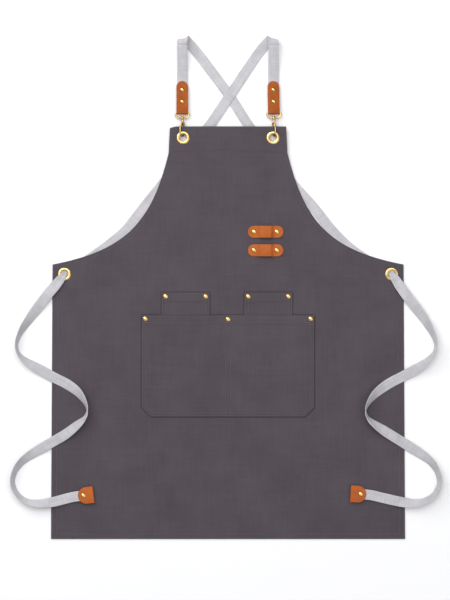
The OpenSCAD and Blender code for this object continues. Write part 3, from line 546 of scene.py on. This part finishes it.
def tidyNormals(piece):
    shell = bmesh.new()
    shell.from_mesh(piece.data)
    bmesh.ops.recalc_face_normals(shell, faces=shell.faces)
    shell.to_mesh(piece.data)
    shell.free()


stub = {"footInset": 0.002, "footDrop": 0.0006, "headInset": 0.004, "headLift": 0.0008, "turn": 1, "headShare": 0.8}


def stubRows(side):  # the end of the webbing between the two layers of the leather tab
    low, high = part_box("strap_stub_left" if side < 0 else "strap_stub_right")
    middleX = (low.x + high.x) / 2
    turn = 0 if side < 0 else math.tan(math.radians(stub["turn"])) * (high.y - low.y) / 2
    return withWidths([
        (middleX + turn, low.y + stub["footInset"], high.z - stub["footDrop"], 0),
        (middleX - turn * stub["headShare"], high.y - stub["headInset"], low.z + stub["headLift"], 0)])


strapEnds = {"left": (-1, leftLead, leftRun, "right"), "right": (1, rightLead, rightRun, "left")}
for sideName, (side, lead, run, tieSide) in strapEnds.items():
    meeting = (lead[-1][0], lead[-1][1] + shoulderFold["leadGap"], *lead[-1][2:])
    leadPiece, _, leadRun = webbingMesh("webbingLead_" + sideName, stubRows(side) + lead[:-1] + [meeting])
    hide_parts("strap_lead_" + sideName, "strap_stub_" + sideName)
    start, end = lead[-1], lead[0]
    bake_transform(leadPiece)
    strapPiece, route, strapRun = webbingMesh("webbingStrap_" + sideName, strapRows(side, lead, run), leadRun)
    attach(strapPiece, "apron")
    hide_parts("strap_" + sideName)


def unitRows(v):
    return v / np.maximum(1e-12, np.linalg.norm(v, axis=1, keepdims=True))


def cornerWays(outline):  # outward way at each corner of an anticlockwise outline, longer where it is sharp
    ahead = unitRows(np.roll(outline, -1, 0) - outline)
    behind = np.roll(ahead, 1, 0)
    outA = np.stack([ahead[:, 1], -ahead[:, 0]], 1)
    outB = np.stack([behind[:, 1], -behind[:, 0]], 1)
    middle = unitRows(outA + outB)
    return middle / np.maximum(0.6, (middle * outA).sum(1, keepdims=True))


def gapTo(points, path, closed=False):  # distance from each point to a path
    path = np.asarray(path, float)
    starts, ends = (path, np.roll(path, -1, 0)) if closed else (path[:-1], path[1:])
    best = np.full(len(points), 1e9)
    for a, b in zip(starts, ends):
        way = b - a
        t = np.clip(((points - a) @ way) / max(1e-12, way @ way), 0, 1)
        best = np.minimum(best, np.linalg.norm(points - (a + t[:, None] * way), axis=1))
    return best


def inside(points, outline):
    x, y = points[:, 0], points[:, 1]
    hit = np.zeros(len(points), bool)
    for (ax, ay), (bx, by) in zip(outline, np.roll(outline, -1, 0)):
        if ay != by:
            crosses = (ay > y) != (by > y)
            hit ^= crosses & (x < (bx - ax) * (y - ay) / (by - ay) + ax)
    return hit


def divided(path, step, closed=False):  # the same path with points no further apart than step
    path = [np.array(p, float) for p in path]
    out = []
    for a, b in zip(path, path[1:] + ([path[0]] if closed else [])):
        n = max(1, math.ceil(np.linalg.norm(b - a) / step))
        out += [a + (b - a) * k / n for k in range(n)]
    return np.array(out if closed else out + [path[-1]])


def shifted(path, distance):  # a path moved to its left
    ways = unitRows(np.gradient(np.asarray(path, float), axis=0))
    return np.asarray(path) + distance * np.stack([-ways[:, 1], ways[:, 0]], 1)


def raisedBib(points):  # the bib rises from the flat panel towards the hooks
    out = points.copy()
    run = points[:, 1] - panel["rampY"]
    up = run > 0
    height = points[:, 2] - panel["low"]
    c, s = math.cos(panel["rampAngle"]), math.sin(panel["rampAngle"])
    out[up, 1] = panel["rampY"] + run[up] * c - height[up] * s
    out[up, 2] = panel["low"] + run[up] * s + height[up] * c
    return out


def sheetMesh(name, outline, topAt, layers, material, holes=(), seams=(), cell=0.006, stack=None, turnIn=None,
              creaseShadeAt=None, edgeShade=0.0):  # a closed sheet with a rolled edge that may be turned under
    outline = np.asarray(outline, float)
    stack = np.full(len(outline), layers) if stack is None else np.asarray(stack, float)
    turnIn = np.zeros(len(outline)) if turnIn is None else np.asarray(turnIn, float)
    ways = cornerWays(outline)
    rim = outline - ways * (stack / 2)[:, None]
    low, high = outline.min(0), outline.max(0)
    grid = np.array([(x, y) for x in np.arange(low[0], high[0], cell) for y in np.arange(low[1], high[1], cell)])
    free = [grid]
    for seam in seams:
        for offset in (-0.0022, -0.0009, 0, 0.0009, 0.0022):
            free.append(shifted(divided(seam, 0.0032), offset))
    keep = []
    for k, points in enumerate(free):
        ok = inside(points, rim) & (gapTo(points, rim, True) > (cell * 0.45 if k == 0 else 0.0004))
        for hole in holes:
            ok &= ~inside(points, hole) & (gapTo(points, hole, True) > (cell * 0.4 if k == 0 else 0.0006))
        if k == 0 and seams:
            for seam in seams:
                ok &= gapTo(points, seam) > 0.0036
        keep.append(points[ok])
    fixed = [rim, *holes]
    cloud = np.concatenate(fixed + keep)
    edges, start = [], 0
    for loop in fixed:
        edges += [(start + i, start + (i + 1) % len(loop)) for i in range(len(loop))]
        start += len(loop)
    made = geometry.delaunay_2d_cdt([Vector(p) for p in cloud], edges, [], 0, 1e-7)
    spots = np.array([tuple(p) for p in made[0]])
    home = {}
    for new, olds in enumerate(made[3]):
        for old in olds:
            home[old] = new
    triangles = np.array(made[2])
    middles = spots[triangles].mean(1)
    good = inside(middles, rim)
    for hole in holes:
        good &= ~inside(middles, hole)
    triangles = triangles[good]
    top = topAt(spots)
    n = len(spots)
    points = [np.column_stack([spots, top]), np.column_stack([spots, top - layers])]
    faces = [tuple(int(v) for v in t) for t in triangles] + [tuple(int(v) + n for v in t[::-1]) for t in triangles]
    loopHome = [home[i] for i in range(len(rim))]
    rimTop = top[loopHome]
    rings = [np.array(loopHome)]
    total = 2 * n
    inner = np.maximum(0, stack - layers - 0.0001)
    turned = inner > 0.0002
    profile = [(stack / 2 * math.sin(a), stack / 2 * (1 - math.cos(a))) for a in (0.6, 1.15, 1.57, 2.0, 2.55)]
    level = np.zeros(len(outline))
    profile.append((level - 0.0001, np.where(turned, stack, layers + 0.00002)))
    back = np.where(turned, -np.maximum(turnIn - stack / 2, 0.0006), -0.0002)
    profile.append((back, np.where(turned, stack, layers + 0.00003)))
    profile.append((back - 0.0002, np.where(turned, stack - inner / 2, layers + 0.00002)))
    profile.append((back, np.where(turned, stack - inner, layers + 0.00001)))
    profile.append((level - 0.00015, np.where(turned, stack - inner, layers + 0.00001)))
    for out, drop in profile:
        ring = rim + ways * out[:, None]
        points.append(np.column_stack([ring, rimTop - drop]))
        rings.append(np.arange(total, total + len(rim)))
        total += len(rim)
    rings.append(np.array(loopHome) + n)
    for a, b in zip(rings, rings[1:]):
        for i in range(len(rim)):
            j = (i + 1) % len(rim)
            faces.append((int(a[i]), int(b[i]), int(b[j]), int(a[j])))
    start = len(rim)
    for hole in holes:
        loop = [home[start + i] for i in range(len(hole))]
        for i in range(len(loop)):
            j = (i + 1) % len(loop)
            faces.append((loop[i], loop[j], loop[j] + n, loop[i] + n))
        start += len(hole)
    piece = meshObject(name, raisedBib(np.concatenate(points)), faces, material)
    # painted shade: the crease attribute darkens creases and, through edgeShade, the rolled rim
    shade = [creaseShadeAt(spots) if creaseShadeAt else np.zeros(n), np.zeros(n)]
    shade += [np.full(len(rim), edgeShade * share) for share in (0.1, 0.4, 0.9, *[1.0] * (len(profile) - 3))]
    crease = piece.data.attributes.new("crease", "FLOAT", "POINT")
    crease.data.foreach_set("value", np.concatenate(shade).astype(np.float32))
    tidyNormals(piece)
    return piece


def seamDip(points, seams, depth):  # stitches pull the cloth down along each seam, with small puckers
    dip = np.zeros(len(points))
    for seam in seams:
        gap = gapTo(points, seam)
        pucker = 0.75 + 0.25 * np.sin(points[:, 0] * 700) * np.cos(points[:, 1] * 610)
        dip = np.maximum(dip, depth * pucker * np.exp(-(gap / 0.0011) ** 2))
    return dip


def seamShade(points, seams):  # painted shade: the cloth is darkened a little along each seam
    shade = np.zeros(len(points))
    for seam in seams:
        shade = np.maximum(shade, 0.35 * np.exp(-(gapTo(points, seam) / 0.0012) ** 2))
    return shade


def ripple(points, scale, seed):
    return np.array([noise.noise(Vector((x * scale, y * scale, seed))) for x, y in points])


def circle(x, y, radius, count=40):
    turn = np.linspace(0, 2 * math.pi, count, endpoint=False)
    return np.column_stack([x + radius * np.cos(turn), y + radius * np.sin(turn)])


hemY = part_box("bottom_hem")[0].y
panel = {
    "hemWidth": 0.698, "waistWidth": 0.692, "bibWidth": 0.229, "bibBaseWidth": 0.234,
    "hemY": hemY, "waistY": hemY + 0.541, "topY": hemY + 0.541 + 0.272, "facing": 0.052,
    "low": 0.0021, "top": 0.0028, "layer": 0.0007, "rampLength": 0.150,
    "hemTurn": 0.012, "armholeTurn": 0.007, "holeRadius": 0.0080, "sag": 0.0005, "dip": 0.00035, "press": 0.0005,
}
seamInset = {"hemFold": 0.0105, "hemEdge": 0.0022, "armhole": 0.0055, "bibEnd": 0.002, "bibEdge": 0.0025}
panel["rampY"] = panel["topY"] - panel["rampLength"]
panel["rampAngle"] = math.asin((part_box("apron_panel")[1].z - panel["top"]) / panel["rampLength"])
panel["facingY"] = panel["topY"] - panel["facing"]


def armholeCurve(count=90):
    p = [np.array(v) for v in (
        (panel["bibBaseWidth"] / 2, panel["facingY"]),
        (panel["bibBaseWidth"] / 2 + 0.033, panel["facingY"] - 0.134),
        (panel["waistWidth"] / 2 - 0.148, panel["waistY"] + 0.0285),
        (panel["waistWidth"] / 2, panel["waistY"]))]
    t = np.linspace(0, 1, count)[:, None]
    return (1 - t) ** 3 * p[0] + 3 * t * (1 - t) ** 2 * p[1] + 3 * t * t * (1 - t) * p[2] + t**3 * p[3]


mirror = np.array([-1, 1])
armholeRight = armholeCurve()
hemCorner = np.array([panel["hemWidth"] / 2, panel["hemY"]])
waistCorner = np.array([panel["waistWidth"] / 2, panel["waistY"]])
bibCorner = np.array([panel["bibWidth"] / 2, panel["topY"]])
facingCorner = np.array([panel["bibBaseWidth"] / 2, panel["facingY"]])

edgeRuns = [  # kind of edge, and its run anticlockwise
    ("hem", divided([hemCorner * mirror, hemCorner], 0.005)),
    ("hem", divided([hemCorner, waistCorner], 0.005)),
    ("armhole", armholeRight[::-1]),
    ("bib", divided([facingCorner, bibCorner], 0.004)),
    ("bib", divided([bibCorner, bibCorner * mirror], 0.004)),
    ("bib", divided([bibCorner * mirror, facingCorner * mirror], 0.004)),
    ("armhole", armholeRight * mirror),
    ("hem", divided([waistCorner * mirror, hemCorner * mirror], 0.005)),
]
edgeStack = {"hem": 0.0028, "armhole": 0.0014, "bib": 0.0014}
edgeTurn = {"hem": panel["hemTurn"], "armhole": panel["armholeTurn"], "bib": 0.001}
bibSlump = {"depth": 0.0034, "reach": 0.014, "height": 0.02}  # the left corner of the bib has gone soft


def slumped(points):
    out = np.array(points, float)
    near = np.clip(1 - (out[:, 0] + bibCorner[0]) / bibSlump["reach"], 0, 1)
    high = np.clip((out[:, 1] - panel["topY"] + bibSlump["height"]) / bibSlump["height"], 0, 1)
    out[:, 1] -= bibSlump["depth"] * near**1.4 * high * high
    return out


outline = slumped(np.concatenate([run[:-1] for _, run in edgeRuns]))
kinds = [kind for kind, run in edgeRuns for _ in run[:-1]]


def eyeletSpot(node):  # middle of an eyelet, taken back to the flat panel
    low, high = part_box(node)
    x, y, _ = (low + high) / 2
    run = y - panel["rampY"]
    if run > 0:
        y = panel["rampY"] + run / math.cos(panel["rampAngle"]) + 0.0002
    return x, y


eyeletNodes = ["bib_eyelet_left", "bib_eyelet_right", "waist_eyelet_left", "waist_eyelet_right"]
eyeletHoles = [circle(*eyeletSpot(node), panel["holeRadius"]) for node in eyeletNodes]


def hemLine(inset):  # down the left side, across the foot and up the right side
    w, h = panel["hemWidth"] / 2 - inset, panel["waistWidth"] / 2 - inset
    y = panel["hemY"] + inset
    top = panel["waistY"] - 0.003
    return np.array([(-h, top), (-w, y), (w, y), (h, top)])


def armholeLine(side, inset):
    path = armholeRight[2:-4]
    return shifted(path, -inset) * np.array([side, 1])


pocket = {"width": 0.340, "height": 0.200, "chamfer": 0.018, "hem": 0.018, "top": 0.0043, "hemLift": 0.0007,
          "turn": 0.008, "puff": 0.0009, "seam": 0.0044, "edgeSeam": 0.0019, "innerSeam": 0.0080}
pocket["openY"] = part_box("pocket_large")[1].y
penPocket = {"width": 0.095, "pitch": 0.163, "middle": -0.002, "depth": 0.105, "top": 0.0035, "hemLift": 0.0007,
             "hem": 0.018, "edgeSeam": 0.0019, "innerSeam": 0.0080}
penPocket["openY"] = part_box("pen_pocket_left")[1].y


def pocketCorners(inset):
    w = pocket["width"] / 2 - inset
    foot = pocket["openY"] - pocket["height"] + inset
    c = pocket["chamfer"] - inset * 0.586
    top = pocket["openY"]
    return [(-w, top), (-w, foot + c), (-w + c, foot), (w - c, foot), (w, foot + c), (w, top)]


def penCorners(side):
    x, w = penPocket["middle"] + side * penPocket["pitch"] / 2, penPocket["width"] / 2
    top, foot = penPocket["openY"], pocket["openY"] - penPocket["depth"]
    return [(x - w, foot), (x + w, foot), (x + w, top), (x - w, top)]


def grown(corners, distance):  # an anticlockwise outline moved outwards
    corners = np.array(corners)
    return corners + cornerWays(corners) * distance


pressLines = [grown(pocketCorners(0), 0.0008)]
for side in (-1, 1):
    corners = penCorners(side)
    pressLines.append(grown([(x, max(y, pocket["openY"] + 0.001)) for x, y in corners], 0.0008))

end, edge = seamInset["bibEnd"], seamInset["bibEdge"]
bibSeams = [
    np.array([(-panel["bibBaseWidth"] / 2 + end, panel["facingY"] + end),
              (panel["bibBaseWidth"] / 2 - end, panel["facingY"] + end)]),
    np.array([(-facingCorner[0] + edge, panel["facingY"]), (-bibCorner[0] + edge, panel["topY"] - edge),
              (bibCorner[0] - edge, panel["topY"] - edge), (facingCorner[0] - edge, panel["facingY"])]),
]
panelSeams = [hemLine(seamInset["hemFold"]), hemLine(seamInset["hemEdge"]), armholeLine(1, seamInset["armhole"]),
              armholeLine(-1, seamInset["armhole"]), *bibSeams]


def panelTop(points):
    edge = gapTo(points, outline, True)
    calm = np.ones(len(points))
    for hole in eyeletHoles:
        calm = np.minimum(calm, np.clip((gapTo(points, hole, True) - 0.006) / 0.02, 0, 1))
    calm *= np.clip((edge - 0.013) / 0.03, 0, 1)
    sag = panel["sag"] * calm * (0.75 + 0.8 * ripple(points, 9, 3.0))
    press = np.zeros(len(points))
    for line in pressLines:
        press = np.maximum(press, panel["press"] * np.exp(-(gapTo(points, line, True) / 0.0010) ** 2))
    return panel["top"] - sag - np.maximum(press, seamDip(points, panelSeams, panel["dip"]))


# painted shade along the seams, the facing seam and round the pocket edges
def panelCreaseShade(points):
    shade = np.maximum(seamShade(points, panelSeams), 0.8 * np.exp(-(gapTo(points, bibSeams[0]) / 0.0010) ** 2))
    for line in pressLines:
        shade = np.maximum(shade, 0.8 * np.exp(-(gapTo(points, line, True) / 0.0009) ** 2))
    return shade


closedPress = [np.vstack([line, line[:1]]) for line in pressLines]
panelPiece = sheetMesh("canvasPanel", outline, panelTop, panel["layer"], canvas, holes=eyeletHoles,
                       seams=panelSeams + closedPress, stack=[edgeStack[k] for k in kinds],
                       turnIn=[edgeTurn[k] for k in kinds], creaseShadeAt=panelCreaseShade, edgeShade=0.5)
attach(panelPiece, "apron")
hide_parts("apron_panel", "side_hem_left", "side_hem_right", "bottom_hem", "armhole_hem_left",
            "armhole_hem_right")
print("canvas: panel", len(panelPiece.data.polygons), "faces")

facingInset = 0.0012
facingOutline = divided([
    (-facingCorner[0] + facingInset, panel["facingY"]), (facingCorner[0] - facingInset, panel["facingY"]),
    (bibCorner[0] - facingInset, panel["topY"] - facingInset),
    (-bibCorner[0] + facingInset, panel["topY"] - facingInset)], 0.004, True)
facingPiece = sheetMesh("bibFacing", slumped(facingOutline),
                        lambda p: panel["low"] - 0.00002 - seamDip(p, bibSeams, panel["dip"] * 0.9), 0.00066,
                        canvasTurned, holes=eyeletHoles[:2], seams=bibSeams)
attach(facingPiece, "apron")
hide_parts("bib_facing")


def pocketLine(inset):
    return np.array([(x, min(y, pocket["openY"] - 0.001)) for x, y in pocketCorners(inset)])


hemRows = [pocket["openY"] - pocket["hem"], pocket["openY"] - pocket["hem"] + 0.0035]
pocketSeams = [pocketLine(pocket["edgeSeam"]), pocketLine(pocket["innerSeam"])]
pocketSeams += [np.array([(-pocket["width"] / 2 + 0.003, y), (pocket["width"] / 2 - 0.003, y)]) for y in hemRows]
pocketSeams += [np.array([(x, pocket["openY"] - 0.004), (x, pocket["openY"] - pocket["height"] + 0.003)])
                for x in (-pocket["seam"], pocket["seam"])]


def openingLift(points, openY, hem, lift):  # the hem's spare layers end in a soft step
    step = np.clip((points[:, 1] - (openY - hem - 0.0012)) / 0.002, 0, 1)
    return lift * step * step * (3 - 2 * step)


def pocketTop(points):
    halves = [np.array([(s * pocket["seam"], pocket["openY"]), (s * pocket["width"] / 2, pocket["openY"]),
                        (s * pocket["width"] / 2, pocket["openY"] - pocket["height"]),
                        (s * pocket["seam"], pocket["openY"] - pocket["height"])]) for s in (-1, 1)]
    gap = np.minimum(gapTo(points, halves[0][1:]), gapTo(points, halves[1][1:]))
    gap = np.minimum(gap, np.abs(np.abs(points[:, 0]) - pocket["seam"]))
    swell = np.clip((gap - 0.009) / 0.05, 0, 1)
    puff = pocket["puff"] * swell * swell * (3 - 2 * swell) * (0.8 + 0.7 * ripple(points, 14, 8.0))
    return (pocket["top"] + openingLift(points, pocket["openY"], pocket["hem"], pocket["hemLift"]) + puff
            - seamDip(points, pocketSeams, 0.0004))


pocketOutline = divided(pocketCorners(0), 0.004, True)
atOpening = pocketOutline[:, 1] > pocket["openY"] - 1e-6
pocketPiece = sheetMesh("pocketLarge", pocketOutline, pocketTop, 0.0007, canvas, seams=pocketSeams, cell=0.005,
                        stack=np.where(atOpening, 0.0014, 0.0015),
                        turnIn=np.where(atOpening, pocket["hem"], pocket["turn"]),
                        creaseShadeAt=lambda p: seamShade(p, pocketSeams), edgeShade=1.0)
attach(pocketPiece, "apron")
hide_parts("pocket_large")

penPieces, penSeams = {}, {}
for sideName, side in (("left", -1), ("right", 1)):
    x = penPocket["middle"] + side * penPocket["pitch"] / 2
    w, top = penPocket["width"] / 2, penPocket["openY"]
    covered = pocket["openY"] - 0.004
    seams = [np.array([(x + s * (w - inset), top - 0.002), (x + s * (w - inset), covered)])
             for s in (-1, 1) for inset in (penPocket["edgeSeam"], penPocket["innerSeam"])]
    seams += [np.array([(x - w + 0.003, y), (x + w - 0.003, y)])
              for y in (top - penPocket["hem"], top - penPocket["hem"] + 0.0035)]

    def penTop(points, seams=seams, top=top):
        return (penPocket["top"] + openingLift(points, top, penPocket["hem"], penPocket["hemLift"])
                - seamDip(points, seams, 0.0003))

    corners = divided(penCorners(side), 0.004, True)
    opening = corners[:, 1] > top - 1e-6
    piece = sheetMesh("penPocket_" + sideName, corners, penTop, 0.00068, canvas, seams=seams, cell=0.005,
                      stack=np.where(opening, 0.0013, 0.0007), turnIn=np.where(opening, penPocket["hem"], 0),
                      creaseShadeAt=lambda p, seams=seams: seamShade(p, seams), edgeShade=1.0)
    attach(piece, "apron")
    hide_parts("pen_pocket_" + sideName)
    penPieces[sideName], penSeams[sideName] = piece, seams
print("canvas: pockets")


# Stitches along every seam
stitch = {"pitch": 0.0034, "length": 0.0028, "radius": 0.00038, "seed": 7, "lift": 0.00016}


def stitchTree():  # one short thread lying along each step of a run
    tree = bpy.data.node_groups.new("stitchRun", "GeometryNodeTree")
    sockets = tree.interface
    sockets.new_socket("Geometry", in_out="INPUT", socket_type="NodeSocketGeometry")
    for name, value in (("Pitch", stitch["pitch"]), ("Length", stitch["length"]), ("Radius", stitch["radius"])):
        sockets.new_socket(name, in_out="INPUT", socket_type="NodeSocketFloat").default_value = value
    sockets.new_socket("Seed", in_out="INPUT", socket_type="NodeSocketInt").default_value = stitch["seed"]
    sockets.new_socket("Geometry", in_out="OUTPUT", socket_type="NodeSocketGeometry")
    given, made = tree.nodes.new("NodeGroupInput"), tree.nodes.new("NodeGroupOutput")
    curve = addNode(tree, "GeometryNodeMeshToCurve", {0: given.outputs["Geometry"]})
    steps = addNode(tree, "GeometryNodeCurveToPoints", {"Curve": curve.outputs[0], "Length": given.outputs["Pitch"]},
                    mode="LENGTH")
    turn = addNode(tree, "FunctionNodeAlignRotationToVector", {"Vector": steps.outputs["Tangent"]}, axis="X")
    bead = addNode(tree, "GeometryNodeMeshUVSphere", {"Segments": 6, "Rings": 5, "Radius": 1.0})
    half = addNode(tree, "ShaderNodeMath", {0: given.outputs["Length"], 1: 0.5}, operation="MULTIPLY")
    size = addNode(tree, "ShaderNodeCombineXYZ", {"X": half.outputs[0], "Y": given.outputs["Radius"],
                                                  "Z": given.outputs["Radius"]})
    vary = addNode(tree, "FunctionNodeRandomValue", {"Seed": given.outputs["Seed"]}, data_type="FLOAT")
    vary.inputs[2].default_value, vary.inputs[3].default_value = 0.9, 1.06
    scaled = addNode(tree, "ShaderNodeVectorMath", {0: size.outputs[0]}, operation="SCALE")
    tree.links.new(vary.outputs[1], scaled.inputs["Scale"])
    placed = addNode(tree, "GeometryNodeInstanceOnPoints", {
        "Points": steps.outputs["Points"], "Instance": bead.outputs["Mesh"], "Rotation": turn.outputs["Rotation"],
        "Scale": scaled.outputs[0]})
    real = addNode(tree, "GeometryNodeRealizeInstances", {0: placed.outputs[0]})
    painted = addNode(tree, "GeometryNodeSetMaterial", {"Geometry": real.outputs[0], "Material": thread})
    rounded = addNode(tree, "GeometryNodeSetShadeSmooth", {0: painted.outputs[0]})
    tree.links.new(rounded.outputs[0], made.inputs[0])
    return tree


stitchRun = stitchTree()


def socketOf(tree, name):
    return next(s.identifier for s in tree.interface.items_tree if s.name == name and s.in_out == "INPUT")


def stitches(name, runs, body):  # runs are lists of points on the cloth
    points, edges = [], []
    for run in runs:
        start = len(points)
        points += [tuple(p) for p in run]
        edges += [(start + i, start + i + 1) for i in range(len(run) - 1)]
    mesh = bpy.data.meshes.new(name + "Runs")
    mesh.from_pydata(points, edges, [])
    helper = placeMesh(name + "Runs", mesh)
    modifier = helper.modifiers.new("stitches", "NODES")
    modifier.node_group = stitchRun
    modifier[socketOf(stitchRun, "Pitch")] = stitch["pitch"]
    made = helper.evaluated_get(bpy.context.evaluated_depsgraph_get())
    result = bpy.data.meshes.new_from_object(made)
    bpy.data.objects.remove(helper)
    result.name = name
    if not result.materials:
        result.materials.append(thread)
    piece = placeMesh(name, result)
    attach(piece, body)
    return piece


def onCloth(paths, topAt, lift):  # puts flat runs on a sheet's face
    runs = []
    for path in paths:
        flat = divided(path, 0.004)
        height = topAt(flat) + lift
        runs.append(raisedBib(np.column_stack([flat, height])))
    return runs


panelStitches = stitches("panelStitches", onCloth(panelSeams, panelTop, stitch["lift"]), "apron")
pocketStitches = stitches("pocketStitches", onCloth(pocketSeams, pocketTop, stitch["lift"]), "apron")
penRuns = [run for sideName in penSeams for run in onCloth(
    penSeams[sideName], lambda p: np.where(p[:, 1] > penPocket["openY"] - penPocket["hem"] - 0.001,
                                           penPocket["top"] + penPocket["hemLift"], penPocket["top"])
    - 0.0002, stitch["lift"])]
penStitches = stitches("penPocketStitches", penRuns, "apron")
print("thread:", sum(len(p.data.polygons) for p in (panelStitches, pocketStitches, penStitches)), "faces")


leather = {"bevel": 0.00035, "segments": 3, "weld": 0.00001, "flatBelow": 1.5, "bevelOver": 50, "smoothBelow": 35,
           "rawBelow": 0.3, "foldReach": 0.006, "sideOver": 0.7}


def leatherPiece(node, name, material, body, isRaw):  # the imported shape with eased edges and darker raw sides
    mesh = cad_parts[node].data.copy()
    mesh.name = name
    shell = bmesh.new()
    shell.from_mesh(mesh)
    bmesh.ops.remove_doubles(shell, verts=shell.verts, dist=leather["weld"])
    bmesh.ops.dissolve_limit(shell, angle_limit=math.radians(leather["flatBelow"]), verts=shell.verts,
                             edges=shell.edges)
    corner = math.radians(leather["bevelOver"])
    sharp = [e for e in shell.edges if len(e.link_faces) == 2 and e.calc_face_angle() > corner]
    bmesh.ops.bevel(shell, geom=sharp, offset=leather["bevel"], segments=leather["segments"], profile=0.5,
                    affect="EDGES", clamp_overlap=True)
    bmesh.ops.triangulate(shell, faces=[f for f in shell.faces if len(f.verts) > 4])
    shell.normal_update()
    mark = shell.verts.layers.float.new("rawEdge")
    for vertex in shell.verts:
        vertex[mark] = max(float(isRaw(face.calc_center_median(), face.normal)) for face in vertex.link_faces)
    shell.to_mesh(mesh)
    shell.free()
    mesh.materials.clear()
    mesh.materials.append(material)
    mesh.polygons.foreach_set("use_smooth", [True] * len(mesh.polygons))
    mesh.set_sharp_from_angle(angle=math.radians(leather["smoothBelow"]))
    piece = placeMesh(name, mesh)
    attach(piece, body)
    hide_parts(node)
    return piece


def cutSide(centre, normal):  # a raw cut edge faces sideways
    return abs(normal.z) < leather["rawBelow"]


for level in ("upper", "lower"):
    leatherPiece("tool_loop_" + level, "toolLoop_" + level, loopLeather, "apron", cutSide)
for sideName in ("left", "right"):
    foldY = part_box("strap_tab_" + sideName)[0].y + leather["foldReach"]
    leatherPiece("strap_tab_" + sideName, "strapTab_" + sideName, strapLeather, "tab_" + sideName,
                 lambda c, n, foldY=foldY: (cutSide(c, n) and c.y > foldY) or abs(n.x) > leather["sideOver"])
    leatherPiece("tie_tab_" + sideName, "tieTab_" + sideName, loopLeather, "apron", cutSide)
print("leather: loops and tabs")


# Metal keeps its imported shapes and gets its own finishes
steelNodes = ("gate_pin", "gate_spring")
for nodeName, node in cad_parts.items():
    if node.hide_render:
        continue
    isSteel = nodeName.startswith(steelNodes)
    node.data.materials.clear()
    node.data.materials.append(steel if isSteel else brass)
print("metal: rivets, eyelets, buckles and hooks")


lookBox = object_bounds()
for boxName, box in (("cad", cadBox), ("visual", lookBox)):
    print("size:", boxName, [round(v, 4) for v in box[1] - box[0]])
